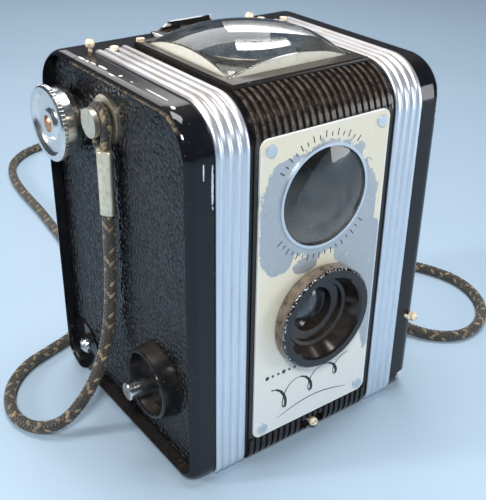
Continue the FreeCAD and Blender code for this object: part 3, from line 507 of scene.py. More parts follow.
def rib_enamel():
    """Ribbed strip: brown dust between the ribs, rubbed shiny along their tops."""
    paint = Paint("rib_enamel", (0.02, 0.017, 0.016))
    pitch = 2.2 * MM
    shifted = paint.math("ADD", paint.axis("X"), 50.5 * pitch)
    phase = paint.math("ABSOLUTE", paint.math("SUBTRACT", paint.math("MODULO", shifted, pitch),
                                              pitch / 2))
    between = paint.step(phase, 0.25 * pitch, 0.12 * pitch)
    high = paint.span("Z", 0.085, 0.108)
    patches = paint.patches(1.8, 4, 0.25, 0.68)
    share = paint.both(paint.both(paint.scaled(between, 0.40, 0.08), patches),
                       paint.scaled(high, 0.85, 0.12))
    grit = paint.patches(0.25, 1, 0.66, 0.74)
    share = paint.any(share, paint.both(grit, 0.25))
    shade = paint.mix(share, (0.008, 0.007, 0.007), (0.20, 0.145, 0.105))
    shine = paint.blend(share, 0.16, 0.6)
    return paint.finish(shade, shine, paint.bump(paint.noise(0.8, 3), 0.03, 0.5))


def plate_lacquer():
    """Cream lacquer on the face plate, worn through to blue-grey metal round the upper lens."""
    paint = Paint("plate_lacquer", (0.80, 0.75, 0.60))
    face = -40.1
    worn_places = [
        ((-10.0, face, 82.0), (11.6, 9, 14.5)),
        ((-14.5, face, 74.0), (7.0, 9, 12.0)),
        ((0.0, face, 81.0), (16.4, 9, 17.4)),
        ((11.5, face, 72.5), (8.0, 9, 17.0)),
        ((17.5, face, 58.0), (5.2, 9, 13.0)),
        ((20.0, face, 42.0), (2.6, 9, 18.0)),
        ((-5.5, face, 62.5), (4.2, 9, 2.6)),
    ]
    ragged = paint.scaled(paint.noise(4.2, 5, 0.62), 0.75, -0.375)
    worn = paint.any(*[paint.step(paint.math("ADD", paint.spot(*place), ragged), 1.0, 0.975)
                       for place in worn_places])
    islands = paint.patches(2.4, 4, 0.68, 0.70, rough=0.6)
    worn = paint.both(worn, paint.math("SUBTRACT", 1.0, islands))
    low = paint.span("Z", 0.062, 0.012)
    cream = paint.mix(paint.noise(9, 3), (0.80, 0.735, 0.56), (0.84, 0.79, 0.66))
    cream = paint.mix(low, cream, (0.76, 0.77, 0.75))
    freckles = paint.both(paint.patches(0.30, 1, 0.64, 0.72), 0.30)
    cream = paint.mix(freckles, cream, (0.46, 0.41, 0.33))
    metal = paint.mix(paint.noise(1.2, 4), (0.40, 0.44, 0.48), (0.54, 0.57, 0.60))
    shade = paint.mix(worn, cream, metal)
    edge = paint.any(paint.step(paint.math("ABSOLUTE", paint.axis("X")), 0.02115, 0.02135),
                     paint.span("Z", 0.0094, 0.0092),
                     paint.span("Z", 0.1015, 0.1017))
    shade = paint.mix(paint.both(edge, 0.75), shade, (0.86, 0.87, 0.88))
    shine = paint.blend(worn, 0.36, 0.42)
    ledge = paint.bump(paint.math("SUBTRACT", 1.0, worn), 0.05, 0.8)
    relief = paint.bump(paint.noise(0.4, 2), 0.012, 0.4, ledge)
    return paint.finish(shade, shine, relief, Metallic=paint.both(worn, 0.55))


def barrel_enamel():
    """Taking lens barrel: glossy bronze-black, with a dusty flank made paler on its upper left as
    painted light, and bright nicks on the rim.
    """
    paint = Paint("barrel_enamel", (0.010, 0.008, 0.008))
    away_x = paint.axis("X")
    away_z = paint.math("SUBTRACT", paint.axis("Z"), 45.3 * MM)
    reach = paint.math("SQRT", paint.scaled(away_x, away_x, paint.both(away_z, away_z)))
    flank = paint.both(paint.step(reach, 0.01535, 0.0156), paint.span("Y", -0.0444, -0.0439))
    # Painted light: the flank's dust share is raised on the upper left, the side the light falls
    # on, and lowered towards the lower right.
    painted_light_side = paint.step(paint.math("SUBTRACT", away_z, away_x), -0.012, 0.014)
    bowl = paint.both(paint.step(reach, 0.0128, 0.0118), paint.step(away_z, 0.002, -0.008))
    patches = paint.patches(2.8, 5, 0.15, 0.85, rough=0.7)
    share = paint.any(paint.both(paint.both(flank, patches), paint.scaled(painted_light_side, 0.8, 0.2)),
                      paint.both(paint.both(bowl, patches), 0.12))
    grit = paint.both(paint.patches(0.28, 1, 0.72, 0.77), 0.35)
    share = paint.any(share, grit)
    shade = paint.mix(share, (0.010, 0.008, 0.008), (0.34, 0.26, 0.195))
    rim = paint.both(paint.step(reach, 0.01505, 0.0153), paint.step(reach, 0.0158, 0.0154))
    nick = paint.both(rim, paint.patches(0.55, 2, 0.54, 0.60))
    nick = paint.both(nick, paint.span("Y", -0.0439, -0.0442))
    shade = paint.mix(nick, shade, BARE)
    shine = paint.blend(paint.any(share, nick), 0.14, 0.55)
    relief = paint.bump(paint.noise(1.0, 3), 0.02, 0.4)
    return paint.finish(shade, shine, relief, Metallic=paint.both(nick, 0.8))


def worn_metal(name, light, dark, rough, stain, scratch=0.5):
    """Bare or plated metal with cloudy tarnish, stains and fine scratches."""
    paint = Paint(name, light, Metallic=1.0)
    cloud = paint.noise(2.6, 4)
    stained = paint.both(paint.patches(1.4, 5, 0.52, 0.72, rough=0.65), stain)
    shade = paint.mix(cloud, dark, light)
    shade = paint.mix(stained, shade, (0.25, 0.19, 0.13))
    shine = paint.scaled(paint.noise(0.9, 4), 0.22, rough)
    shine = paint.blend(stained, shine, 0.6)
    lines = paint.noise(0.30, 3, 0.7, 0.4, stretch=(1, 0.18, 1))
    return paint.finish(shade, shine, paint.bump(lines, 0.012, scratch))


def clear_glass(name, dust, film, tint=(0.97, 0.985, 0.98), fade_z=None):
    """Clear glass under a film of dust that hides a share of what is behind, more below fade_z."""
    paint = Paint(name, tint, Transmission_Weight=1.0, IOR=1.49, Roughness=0.0)
    veil = paint.node("ShaderNodeBsdfPrincipled")
    veil.inputs["Base Color"].default_value = (*dust, 1)
    veil.inputs["Roughness"].default_value = 0.75
    patches = paint.patches(5.0, 4, 0.25, 0.75)
    grit = paint.both(paint.patches(0.34, 1, 0.62, 0.70), 0.8)
    share = paint.scaled(patches, film, paint.both(grit, film * 2.2))
    if fade_z:
        lower = paint.span("Z", fade_z[1] * MM, fade_z[0] * MM)
        share = paint.both(share, paint.scaled(lower, 1.1, 0.15))
    joined = paint.node("ShaderNodeMixShader")
    paint.feed(joined.inputs[0], paint.math("MINIMUM", share, 1.0))
    paint.feed(joined.inputs[1], paint.shader.outputs[0])
    paint.feed(joined.inputs[2], veil.outputs[0])
    out = paint.tree.nodes["Material Output"]
    paint.feed(out.inputs["Surface"], joined.outputs[0])
    return paint.made


def frosted_wall():
    """Moulded side walls of the finder lens: cream, dull, slightly see-through."""
    paint = Paint("frosted_wall", (0.80, 0.77, 0.64), Transmission_Weight=0.15, Roughness=0.5)
    stain = paint.patches(3.0, 5, 0.48, 0.75, rough=0.65)
    low = paint.span("Z", 0.1135, 0.1115)
    shade = paint.mix(paint.any(paint.both(stain, 0.45), paint.both(low, 0.35)),
                      (0.92, 0.90, 0.80), (0.52, 0.46, 0.33))
    return paint.set(Base_Color=shade, Normal=paint.bump(paint.noise(0.7, 4), 0.05, 0.6))


def silvered_mirror():
    """Front-silvered mirror with faint haze."""
    paint = Paint("silvered_mirror", (0.86, 0.88, 0.90), Metallic=1.0)
    shine = paint.scaled(paint.noise(6, 4), 0.10, 0.02)
    return paint.set(Roughness=shine)


def dull_black():
    """Matt blacked metal of the inside, faintly dusty."""
    colour, rough = (0.018, 0.018, 0.019), 0.55
    paint = Paint("inside_black", colour)
    share = paint.both(paint.patches(2.5, 5, 0.45, 0.8), 0.25)
    shade = paint.mix(share, colour, (0.13, 0.11, 0.09))
    shine = paint.scaled(paint.noise(1.0, 3), 0.2, rough)
    return paint.finish(shade, shine, paint.bump(paint.noise(0.3, 3), 0.015, 0.5))


def yarn(name, colour, dark, fleck):
    """Waxed cotton strands with fine fibres and soiling."""
    paint = Paint(name, colour, Sheen_Weight=0.25, Sheen_Roughness=0.5)
    soil = paint.patches(4.5, 4, 0.35, 0.70)
    fibres = paint.noise(0.16, 2, 0.7, 0.5)
    shade = paint.mix(paint.both(soil, 0.75), colour, dark)
    shade = paint.mix(paint.both(paint.step(fibres, 0.58, 0.70), fleck), shade, (0.55, 0.45, 0.28))
    return paint.finish(shade, paint.scaled(fibres, 0.3, 0.45), paint.bump(fibres, 0.06, 0.9))


def painted_pin():
    """Cream enamel ball pin, chipped to copper-brown."""
    paint = Paint("painted_pin", (0.82, 0.72, 0.52))
    chip = paint.patches(1.1, 3, 0.52, 0.60)
    shade = paint.mix(chip, (0.84, 0.77, 0.60), (0.50, 0.30, 0.17))
    return paint.finish(shade, paint.blend(chip, 0.32, 0.55), paint.bump(chip, 0.04, 0.6))


def crimped_metal():
    """Dull brass-tinted ferrule, beige with age."""
    paint = Paint("crimped_metal", (0.60, 0.53, 0.40), Metallic=0.8)
    stain = paint.patches(1.8, 5, 0.42, 0.75)
    streak = paint.noise(0.5, 3, 0.6, stretch=(1, 1, 0.06))
    shade = paint.mix(paint.both(stain, 0.5), (0.70, 0.63, 0.49), (0.32, 0.25, 0.17))
    shade = paint.mix(paint.both(paint.step(streak, 0.5, 0.75), 0.35), shade, (0.30, 0.25, 0.18))
    return paint.finish(shade, paint.scaled(streak, 0.25, 0.26), paint.bump(streak, 0.03, 0.5))


def ruby_window():
    """Clear red film window."""
    paint = Paint("ruby_window", (0.50, 0.01, 0.01), Transmission_Weight=0.75, IOR=1.49)
    shine = paint.scaled(paint.noise(1.5, 3), 0.12, 0.05)
    return paint.set(Roughness=shine)


def printing_ink():
    """Thin black printed line, slightly rubbed."""
    paint = Paint("printing_ink", (0.035, 0.03, 0.028))
    rubbed = paint.patches(0.9, 4, 0.60, 0.74)
    shade = paint.mix(rubbed, (0.03, 0.027, 0.026), (0.38, 0.34, 0.28))
    return paint.set(Base_Color=shade, Roughness=paint.blend(rubbed, 0.4, 0.6))


case_black = case_enamel()
frame_black = enamel("frame_enamel", (0.016, 0.014, 0.013), dust=1.0, rough=0.2).made
boss_black = enamel("boss_enamel", (0.010, 0.010, 0.011), dust=0.9, rough=0.22).made
latch_black = enamel("latch_enamel", (0.014, 0.013, 0.013), [
    ((-7.6, 26, 113.4), (2.6, 2, 0.5)), ((8.9, 26, 113.8), (0.6, 2, 1.0)),
    ((-12, 22, 112), (1.0, 3.6, 1.5)), ((0, 26, 114.4), (8, 1, 0.25)),
], dust=0.8, rough=0.24).made
leather = leatherette()
grained_leather = grained_leatherette()
aluminium = trim_aluminium()
rib_black = rib_enamel()
lacquer = plate_lacquer()
barrel_black = barrel_enamel()
nickel = worn_metal("nickel_plate", (0.82, 0.81, 0.80), (0.66, 0.65, 0.64), 0.10,
                    stain=0.12, scratch=0.2)
bright_rivet = worn_metal("bright_rivet", (0.80, 0.83, 0.87), (0.62, 0.67, 0.73), 0.22, stain=0.1)
steel = worn_metal("steel", (0.60, 0.60, 0.60), (0.42, 0.42, 0.42), 0.26, stain=0.3)
aged_head = worn_metal("aged_head", (0.78, 0.74, 0.62), (0.50, 0.46, 0.36), 0.30,
                       stain=0.55, scratch=0.9)
copper = worn_metal("copper_rivet", (0.72, 0.36, 0.20), (0.45, 0.20, 0.10), 0.25, stain=0.35)
finder_clear = clear_glass("finder_clear", (0.66, 0.65, 0.60), 0.05)
view_glass = clear_glass("view_glass", (0.46, 0.43, 0.39), 0.16, fade_z=(68, 92))
lens_glass = clear_glass("lens_glass", (0.4, 0.4, 0.4), 0.05, tint=(0.90, 0.94, 1.0))
frosted = frosted_wall()
mirror = silvered_mirror()
inside_black = dull_black()
yarn_dark = yarn("yarn_dark", (0.024, 0.019, 0.015), (0.010, 0.009, 0.008), 0.30)
yarn_light = yarn("yarn_light", (0.27, 0.20, 0.11), (0.045, 0.034, 0.022), 0.6)
pin_paint = painted_pin()
crimp = crimped_metal()
ruby = ruby_window()
ink = printing_ink()

PAINTED = {
    case_black: ["main_housing", "back_cover"],
    frame_black: ["finder_frame", "film_window_frame"],
    boss_black: ["release_boss"],
    latch_black: ["back_latch"],
    leather: ["left_leatherette", "right_leatherette", "back_leatherette"],
    rib_black: ["ribbed_centre_strip"],
    lacquer: ["face_plate"],
    barrel_black: ["lens_barrel"],
    nickel: ["winding_knob", "winding_bush", "hinge_rivet_left", "hinge_rivet_right",
             "release_plunger", "latch_rivet"],
    bright_rivet: ["face_plate_rivets", "viewing_lens_ring"],
    steel: ["latch_keeper", "shutter_plate", "shutter_lever", "shutter_pivots", "shutter_spring",
            "release_spring", "upper_film_roller", "lower_film_roller", "take_up_pivot",
            "supply_pivot_left", "supply_pivot_right", "spool_springs", "winding_shaft",
            "tripod_bush"],
    aged_head: ["strap_stud_left", "strap_stud_right"],
    copper: ["knob_rivet"],
    view_glass: ["viewing_lens"],
    lens_glass: ["taking_lens"],
    mirror: ["finder_mirror"],
    inside_black: ["finder_chamber", "film_gate", "take_up_spool", "supply_spool", "shutter_blade",
                   "aperture_plate", "lens_retaining_ring"],
    pin_paint: ["band_rivets", "cover_pins", "edge_pin", "exposure_selector"],
    ruby: ["film_window"],
}


def dress_nodes():
    """Gives every shown CAD node its material."""
    for paint, names in PAINTED.items():
        for name in names:
            mesh = nodes[name].data
            mesh.materials.clear()
            mesh.materials.append(paint)


dress_nodes()

# ---------------- carrying cord

CORD = 3.7 * MM
LOOP_RADIUS = 1.35 * MM
BRAID_FULLNESS = 1.08
CORD_ROUTE = [
    (-43, 0, 72.4), (-43, 0.4, 59), (-43.3, 1.4, 45), (-44.4, 2.6, 31.5),
    (-48.6, 1.2, 21.5), (-54.6, 0.9, 12.5), (-62.5, 2.6, 4.6), (-69.3, 9.4, 2.1),
    (-71.6, 19.6, 2), (-67.6, 31.2, 2), (-58.2, 40.2, 2), (-46.6, 43.8, 2),
    (-35.6, 47.4, 2), (-26, 57.6, 2), (-19.4, 73, 2), (-13, 91, 2),
    (-8.4, 109, 2), (-6, 128, 2), (-3.6, 148, 2), (-2.4, 168, 2),
    (0.4, 187, 2), (6.4, 203.4, 2), (17.6, 214, 2), (32.6, 218.6, 2),
    (50, 216, 2), (67, 207, 2), (82, 192, 2), (94, 172, 2),
    (101, 149, 2), (104.4, 124, 2), (102, 99, 2), (96.4, 76, 2),
    (91.4, 54, 2), (91.6, 34, 2), (97.6, 17.4, 2), (104.4, 5, 2),
    (106.8, -8, 2), (102, -21.4, 2), (91.4, -31, 2), (78.4, -33.6, 2),
    (68.4, -26.6, 2), (63, -15.4, 3.2), (57.6, -6.6, 10), (51.8, -1.6, 20),
    (46.8, 0.4, 31.4), (43.8, 0.6, 45), (43, 0.2, 59), (43, 0, 72.4),
]


def smooth_line(name, route):
    """Points along the NURBS spline that a route controls, in metres."""
    curve = bpy.data.curves.new(name, "CURVE")
    curve.dimensions = "3D"
    curve.resolution_u = 24
    spline = curve.splines.new("NURBS")
    spline.points.add(len(route) - 1)
    for point, place in zip(spline.points, route):
        point.co = (*mm(*place), 1)
    spline.order_u = 3
    spline.use_endpoint_u = True
    holder = bpy.data.objects.new(name, curve)
    mesh = bpy.data.meshes.new_from_object(holder)
    line = [vertex.co.copy() for vertex in mesh.vertices]
    bpy.data.meshes.remove(mesh)
    bpy.data.objects.remove(holder)
    bpy.data.curves.remove(curve)
    return line


def ferrule(side):
    """Sheet-metal sleeve folded round the cord, with a lap seam and one crimped waist."""
    low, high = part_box("strap_ferrule_%s" % side)
    reach = -1 if side == "left" else 1
    centre = Vector(((low.x + high.x) / 2, (low.y + high.y) / 2, 0))
    rings, sides = 40, 56
    seam, seam_width, seam_depth = 1.12 * math.pi, 0.16, 0.34
    points = []
    for ring in range(rings):
        share = ring / (rings - 1)
        level = low.z + (high.z - low.z) * share
        half_y = (2.75 + 0.55 * share) * MM
        half_x = (2.25 - 0.15 * share) * MM
        for side_number in range(sides):
            angle = 2 * math.pi * side_number / sides
            fold = math.exp(-((angle - seam) / seam_width) ** 2)
            wall = 1 - seam_depth * fold * (0.7 + 0.3 * share)
            square = 1 + 0.07 * math.cos(4 * angle)
            lip = 1 - 0.07 * math.exp(-((share - 0.5) / 0.515) ** 40)
            waist = 0.985 if 0.30 < share < 0.34 else 1.0
            x = reach * math.cos(angle - math.pi / 2) * half_x * wall * square * lip * waist
            y = math.sin(angle - math.pi / 2) * half_y * wall * square * lip * waist
            points.append(centre + Vector((x, y, level)))
    faces = tube_faces(rings, sides)
    made = piece("ferrule_%s" % side, points, faces, [crimp])
    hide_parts("strap_ferrule_%s" % side)
    return made


def strap_loop(side):
    """Thin braided end that goes from the ferrule round the stud's neck and back."""
    low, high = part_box("strap_loop_%s" % side)
    middle = (low + high) / 2
    centre = Vector((middle.x, middle.y, high.z - (high.y - low.y) / 2))
    turn_radius = (high.y - low.y) / 2 - LOOP_RADIUS
    start, sweep, steps = 200, 220, 24
    foot = low.z - 0.5 * MM
    line = [Vector((middle.x, centre.y - 2.2 * MM, foot))]
    for step in range(steps + 1):
        angle = math.radians(start - sweep * step / steps)
        line.append(centre + Vector((0, math.cos(angle), math.sin(angle))) * turn_radius)
    line.append(Vector((middle.x, centre.y + 0.4 * MM, foot)))
    made = braid("loop_%s" % side, line, LOOP_RADIUS * BRAID_FULLNESS, 6, 8.0 * MM, 0.4 * MM)
    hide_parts("strap_loop_%s" % side)
    return made


def carrying_cord():
    """The long braided cord, on the floor behind the camera between its two ferrules."""
    line = smooth_line("cord_route", CORD_ROUTE)
    made = braid("braided_cord", line, CORD / 2 * BRAID_FULLNESS, 8, 11.0 * MM, 0.52 * MM)
    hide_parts("carrying_cord")
    ends = [ferrule("left"), ferrule("right"), strap_loop("left"), strap_loop("right")]


carrying_cord()

# ---------------- leather grain

GRAIN_STEP = 0.36 * MM
GRAIN_CELL = 1.7 * MM
GRAIN_HEIGHT = 0.42 * MM
GRAIN_SINK = 0.03 * MM
GRAIN_COUNT = 128
GRAIN_LENGTH = 1.25
GRAIN_SWAY = 0.25
GROOVE_SHARE = 0.42
GRAIN_FADE = 0.9 * MM
GRAIN_SEEDS = {"left": 7, "right": 11}
# Rounded corners of a side panel: which Y and Z edge, and the radius in mm.
PANEL_CORNERS = (("low", "high", 10.4), ("high", "high", 8.1), ("low", "low", 2.6))
CHEEK_RADIUS = 9.9 * MM


def grain_relief(y, z, seed):
    """Pebbles from 0 to 1 at each place: high inside the cells of a jittered grid, low between."""
    chance = np.random.default_rng(seed)
    count = GRAIN_COUNT
    jitter = chance.uniform(0.08, 0.92, (count, count, 2))
    swell = chance.uniform(0.55, 1.0, (count, count))
    u, v = y / GRAIN_CELL, z / (GRAIN_LENGTH * GRAIN_CELL)
    u, v = u + GRAIN_SWAY * np.sin(1.7 * v), v + GRAIN_SWAY * np.sin(1.9 * u)
    column, row = np.floor(u).astype(int), np.floor(v).astype(int)
    away, lift = [], []
    for shift_u in (-1, 0, 1):
        for shift_v in (-1, 0, 1):
            a, b = (column + shift_u) % count, (row + shift_v) % count
            away.append(np.hypot(column + shift_u + jitter[a, b, 0] - u,
                                 row + shift_v + jitter[a, b, 1] - v))
            lift.append(swell[a, b])
    away, lift = np.array(away), np.array(lift)
    order = np.argsort(away, axis=0)
    near = np.take_along_axis(away, order, axis=0)
    high = np.take_along_axis(lift, order, axis=0)[0]
    edge = np.clip((near[1] - near[0]) / GROOVE_SHARE, 0, 1)
    return high * edge * (2 - edge)


def inside_panel(y, z, low, high):
    """Distance inside the rounded outline of a side panel."""
    inside = np.minimum(np.minimum(y - low.y, high.y - y), np.minimum(z - low.z, high.z - z))
    ends = {"low": low, "high": high}
    for end_y, end_z, radius in PANEL_CORNERS:
        reach = radius * MM
        over_y = reach - np.abs(y - ends[end_y].y)
        over_z = reach - np.abs(z - ends[end_z].z)
        corner = (over_y > 0) & (over_z > 0)
        inside = np.where(corner, reach - np.hypot(over_y, over_z), inside)
    return inside


def grained_panel(side):
    """Raised leather grain over the flat outer face of one side's covering."""
    low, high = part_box("%s_leatherette" % side)
    ys = np.arange(low.y + GRAIN_STEP / 2, high.y, GRAIN_STEP)
    zs = np.arange(low.z + GRAIN_STEP / 2, high.z, GRAIN_STEP)
    y, z = np.meshgrid(ys, zs, indexing="ij")
    inside = inside_panel(y, z, low, high)
    fittings = ["strap_stud_%s" % side, "hinge_rivet_%s" % side]
    if side == "left":
        fittings += ["winding_bush", "release_boss"]
    for name in fittings:
        bottom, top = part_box(name)
        radius = CHEEK_RADIUS if name.startswith("hinge") else (top.z - bottom.z) / 2
        hub = (bottom + top) / 2
        far = np.hypot(y - hub.y, z - hub.z)
        inside = np.minimum(inside, far - radius)
    fade = np.clip(inside / GRAIN_FADE, 0, 1)
    outward = fade * grain_relief(y, z, GRAIN_SEEDS[side]) * GRAIN_HEIGHT - GRAIN_SINK
    x = low.x - outward if side == "left" else high.x + outward
    points = np.stack([x, y, z], axis=-1).reshape(-1, 3)
    kept = inside > 0
    kept = kept[:-1, :-1] & kept[1:, :-1] & kept[:-1, 1:] & kept[1:, 1:]
    i, j = np.nonzero(kept)
    columns = len(zs)
    a = i * columns + j
    quads = np.stack([a, a + 1, a + columns + 1, a + columns], axis=1)
    used, quads = np.unique(quads if side == "left" else quads[:, ::-1], return_inverse=True)
    piece("%s_leather_grain" % side, points[used], quads.reshape(-1, 4).tolist(), [grained_leather])


grained_panel("left")
grained_panel("right")

# ---------------- trim bands

BAND_TOP_RADIUS, BAND_BASE_RADIUS = 12.9 * MM, 5.4 * MM
BAND_THICK = 0.85 * MM
RIDGES, RIDGE_STEPS, CORNER_STEPS = 4, 12, 12
GROOVE_WIDTH, GROOVE_DEPTH = 0.6 * MM, 0.45 * MM
RIDGE_POWER = 3.2


def wrap_line(low, high, inset):
    """Path of a trim band in the Y-Z plane: rear top, over the front, to the rear of the base."""
    wrap, under = BAND_TOP_RADIUS - inset, BAND_BASE_RADIUS - inset
    front, top, base = low.y + inset, high.z - inset, low.z + inset
    path = [(high.y, top), (0.0, top)]
    for radius, hub_z, start in ((wrap, top - wrap, 90), (under, base + under, 180)):
        for k in range(CORNER_STEPS + 1):
            angle = math.radians(start + 90 * k / CORNER_STEPS)
            path.append((front + radius + radius * math.cos(angle),
                         hub_z + radius * math.sin(angle)))
    path.append((high.y, base))
    return path


def trim_band(side):
    """Band with four rounded ridges, following the case round its front."""
    low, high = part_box("%s_trim_band" % side)
    width = high.x - low.x
    pitch = (width + GROOVE_WIDTH) / RIDGES
    columns = []
    for ridge in range(RIDGES):
        for k in range(RIDGE_STEPS + 1):
            across = k / RIDGE_STEPS
            depth = GROOVE_DEPTH * abs(2 * across - 1) ** RIDGE_POWER
            columns.append((ridge * pitch + across * (pitch - GROOVE_WIDTH), depth))
    columns += [(width, BAND_THICK), (0.0, BAND_THICK)]
    paths = [[(low.x + x, *place) for place in wrap_line(low, high, depth)] for x, depth in columns]
    points = [place for ring in zip(*paths) for place in ring]
    faces = tube_faces(len(paths[0]), len(columns))
    made = piece("%s_ribbed_band" % side, points, faces, [aluminium])
    face_outward(made)
    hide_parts("%s_trim_band" % side)


trim_band("left")
trim_band("right")

# ---------------- finder lens

DOME_RADIUS = 58.0 * MM
DOME_STEPS = 48
DOME_EASE = 0.35 * MM
# Rings round the lens: share of the easing gone outward, and drop in mm, or None at the foot.
RINGS = ((0.7, 0.1), (1.0, 0.35), (1.0, None))


def finder_lens():
    """Square-cut clear dome: polished top, cream frosted side walls, eased edges."""
    low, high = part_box("finder_lens")
    half = (high.x - low.x) / 2
    centre = (low + high) / 2
    hub = high.z - DOME_RADIUS
    count, ease = DOME_STEPS, DOME_EASE
    points, faces, face_paint = [], [], []
    for row in range(count + 1):
        for column in range(count + 1):
            x = (half - ease) * (2 * column / count - 1)
            y = (half - ease) * (2 * row / count - 1)
            z = hub + math.sqrt(DOME_RADIUS ** 2 - x ** 2 - y ** 2)
            points.append(Vector((centre.x + x, centre.y + y, z)))
    for row in range(count):
        for column in range(count):
            a = row * (count + 1) + column
            faces.append((a, a + 1, a + count + 2, a + count + 1))
            face_paint.append(0)
    edge = list(range(count + 1))
    edge += [(row + 1) * (count + 1) + count for row in range(count)]
    edge += [count * (count + 1) + column for column in reversed(range(count))]
    edge += [row * (count + 1) for row in reversed(range(1, count))]
    rims = [edge]
    for outward, drop in RINGS:
        grow = 1 + outward * ease / (half - ease)
        for index in edge:
            x, y, z = points[index] - centre
            level = low.z if drop is None else centre.z + z - drop * MM
            points.append(Vector((centre.x + x * grow, centre.y + y * grow, level)))
        rims.append(range(len(points) - len(edge), len(points)))
    for upper, lower, (_, drop) in zip(rims, rims[1:], RINGS):
        for k in range(len(upper)):
            after = (k + 1) % len(upper)
            faces.append((upper[k], lower[k], lower[after], upper[after]))
            face_paint.append(int(drop is None))
    faces.append(tuple(reversed(rims[-1])))
    face_paint.append(0)
    made = piece("finder_glass", points, faces, [finder_clear, frosted],
                 face_paint=face_paint)
    for polygon in made.data.polygons:
        polygon.use_smooth = polygon.material_index == 0 and len(polygon.vertices) == 4
    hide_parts("finder_lens")


finder_lens()

# ---------------- marks on the face plate

PLATE_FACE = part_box("face_plate")[0].y
INK_DEPTH = 0.03 * MM
TICK_INNER, TICK_LONG, TICK_SHORT = 16.7 * MM, 18.6 * MM, 17.9 * MM
TICK_HALF = 0.16 * MM
# Arcs of ticks: first and last angle in degrees, and how many.
TICK_ARCS = ((52, 146, 15), (214, 322, 17))
SCROLL_STEPS, SCROLL_LOOPS, UNDERLINE_STEPS, DOTS = 160, 3, 60, 7


def ink_piece(name, outlines):
    """Thin raised printed shapes on the face plate, from outlines in the X-Z plane."""
    points, faces = [], []
    for outline in outlines:
        first = len(points)
        for depth in (PLATE_FACE + INK_DEPTH, PLATE_FACE - INK_DEPTH):
            points.extend((x, depth, z) for x, z in outline)
        faces.extend(tube_faces(2, len(outline), first))
    face_outward(piece(name, points, faces, [ink], smooth=False))


def lens_ticks():
    """Plain graduation ticks above and below the viewing lens."""
    low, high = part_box("viewing_lens_ring")
    centre = ((low.x + high.x) / 2, (low.z + high.z) / 2)
    outlines = []
    for start, end, count in TICK_ARCS:
        for k in range(count):
            angle = math.radians(start + (end - start) * k / (count - 1))
            outer = TICK_SHORT if k % 2 else TICK_LONG
            ray = (math.cos(angle), math.sin(angle))
            side = (-ray[1] * TICK_HALF, ray[0] * TICK_HALF)
            ends = ((TICK_INNER, 1), (outer, 1), (outer, -1), (TICK_INNER, -1))
            outlines.append([tuple(centre[n] + ray[n] * reach + side[n] * way for n in (0, 1))
                             for reach, way in ends])
    ink_piece("lens_ticks", outlines)


def stroke(line, thin, thick):
    """Outline of a pen stroke that swells from thin ends and in its falling parts."""
    left, right = [], []
    count = len(line)
    for k in range(count):
        before, after = line[max(k - 1, 0)], line[min(k + 1, count - 1)]
        dx, dz = after[0] - before[0], after[1] - before[1]
        length = math.hypot(dx, dz)
        share = k / (count - 1)
        press = math.sin(math.pi * share) * (0.35 + 0.65 * abs(dz) / length)
        half = (thin + (thick - thin) * press) / 2
        left.append((line[k][0] - dz / length * half, line[k][1] + dx / length * half))
        right.append((line[k][0] + dz / length * half, line[k][1] - dx / length * half))
    return left + right[::-1]


def stroke_part(line, first, last):
    """Short straight-sided part of a pen line, heavy where the line falls."""
    (x0, z0), (x1, z1) = line[first], line[last]
    length = math.hypot(x1 - x0, z1 - z0)
    half = (0.09 + (0.42 if z1 < z0 else 0.10) * abs(z1 - z0) / length) * MM
    dx, dz = (x1 - x0) / length * half, (z1 - z0) / length * half
    return [(x0 - dz - dx / 3, z0 + dx - dz / 3), (x0 + dz - dx / 3, z0 - dx - dz / 3),
            (x1 + dz + dx / 3, z1 - dx + dz / 3), (x1 - dz + dx / 3, z1 + dx + dz / 3)]


def flourish():
    """Plain looped pen scroll and a row of dots below the taking lens."""
    swash = []
    for k in range(SCROLL_STEPS + 1):
        share = k / SCROLL_STEPS
        loop = 2 * math.pi * SCROLL_LOOPS * share
        x = -15.5 + 29 * share + 2.6 * math.sin(loop)
        z = 19.5 + 4.0 * share + (4.6 - 2.0 * share) * math.cos(loop)
        swash.append((x * MM, z * MM))
    under = []
    for k in range(UNDERLINE_STEPS + 1):
        share = k / UNDERLINE_STEPS
        under.append(((-13 + 27 * share) * MM, (13.0 + 2.6 * math.sin(math.pi * share)) * MM))
    shapes = [stroke(under, 0.1 * MM, 0.7 * MM)]
    for k in range(0, SCROLL_STEPS, 4):
        shapes.append(stroke_part(swash, k, k + 4))
    for k in range(DOTS):
        x, z, radius = (-17.2 + 2.0 * k) * MM, 29.2 * MM, (0.45 if k % 3 else 0.7) * MM
        shapes.append([(x + radius * math.cos(2 * math.pi * j / 12),
                        z + radius * math.sin(2 * math.pi * j / 12)) for j in range(12)])
    ink_piece("plate_flourish", shapes)


lens_ticks()
flourish()

# ---------------- floor and light


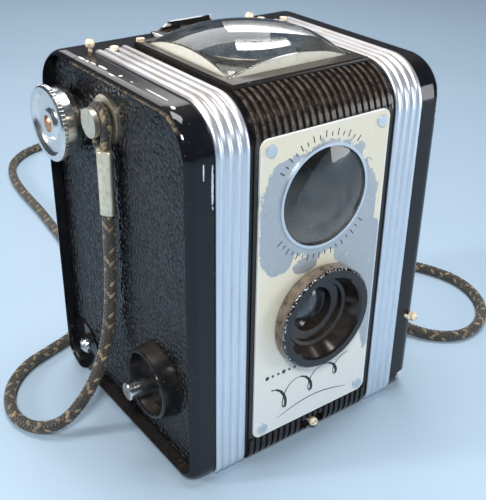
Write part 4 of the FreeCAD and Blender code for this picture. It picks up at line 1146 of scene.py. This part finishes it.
def stage():
    """Plain pale floor that curves up behind."""
    paint = Paint("floor", (0.38, 0.50, 0.62), Roughness=0.6)
    shade = paint.mix(paint.noise(60, 3), (0.36, 0.48, 0.60), (0.39, 0.51, 0.63))
    paint.set(Base_Color=shade)
    reach, back, rise, bend, bend_steps = 3.0, 2.0, 2.0, 0.5, 12
    profile = [(-reach, 0.0), (back, 0.0)]
    for k in range(1, bend_steps + 1):
        angle = math.pi / 2 * k / bend_steps
        profile.append((back + bend * math.sin(angle), bend * (1 - math.cos(angle))))
    profile.append((back + bend, rise))
    points = [(x, y, z) for y, z in profile for x in (-reach, reach)]
    faces = [(2 * k, 2 * k + 1, 2 * k + 3, 2 * k + 2) for k in range(len(profile) - 1)]
    mesh_object("floor", points, faces, [paint.made])


MIDDLE = Vector((0, 0, 0.06))
# Lights: place and aim in metres, size, power and colour.
LIGHTS = {
    "overhead": ((0.05, 0.05, 0.75), MIDDLE, (0.4, 0.3), 4.4, (1, 1, 1)),
    "key": ((-0.34, -0.46, 0.60), MIDDLE, (0.12, 0.12), 4.2, (1.0, 0.985, 0.96)),
    "side": ((-0.58, 0.22, 0.26), MIDDLE, (0.07, 0.16), 2.4, (1.0, 0.97, 0.93)),
    "rear": ((0.26, 0.60, 0.50), Vector((0, 0, 0.11)), (0.50, 0.30), 1.1, (1, 1, 1)),
    "fill": ((0.56, -0.52, 0.16), MIDDLE, (0.22, 0.34), 1.6, (0.94, 0.97, 1.0)),
}


def lights():
    """Soft light overhead, a key and a side light from the left, a rear light for sheen, a fill."""
    for name, (place, aim, size, power, colour) in LIGHTS.items():
        lamp = bpy.data.lights.new(name, "AREA")
        lamp.shape = "RECTANGLE"
        lamp.size, lamp.size_y = size
        lamp.energy = power
        lamp.color = colour
        holder = add_object(name, lamp)
        holder.location = place
        holder.rotation_euler = (aim - Vector(place)).to_track_quat("-Z", "Y").to_euler()
    world = bpy.data.worlds.new("studio")
    world.use_nodes = True
    sky = world.node_tree.nodes["Background"].inputs
    sky["Color"].default_value = (0.50, 0.66, 0.86, 1)
    sky["Strength"].default_value = 0.13
    bpy.context.scene.world = world
    bpy.context.scene.view_settings.view_transform = "Standard"


stage()
lights()
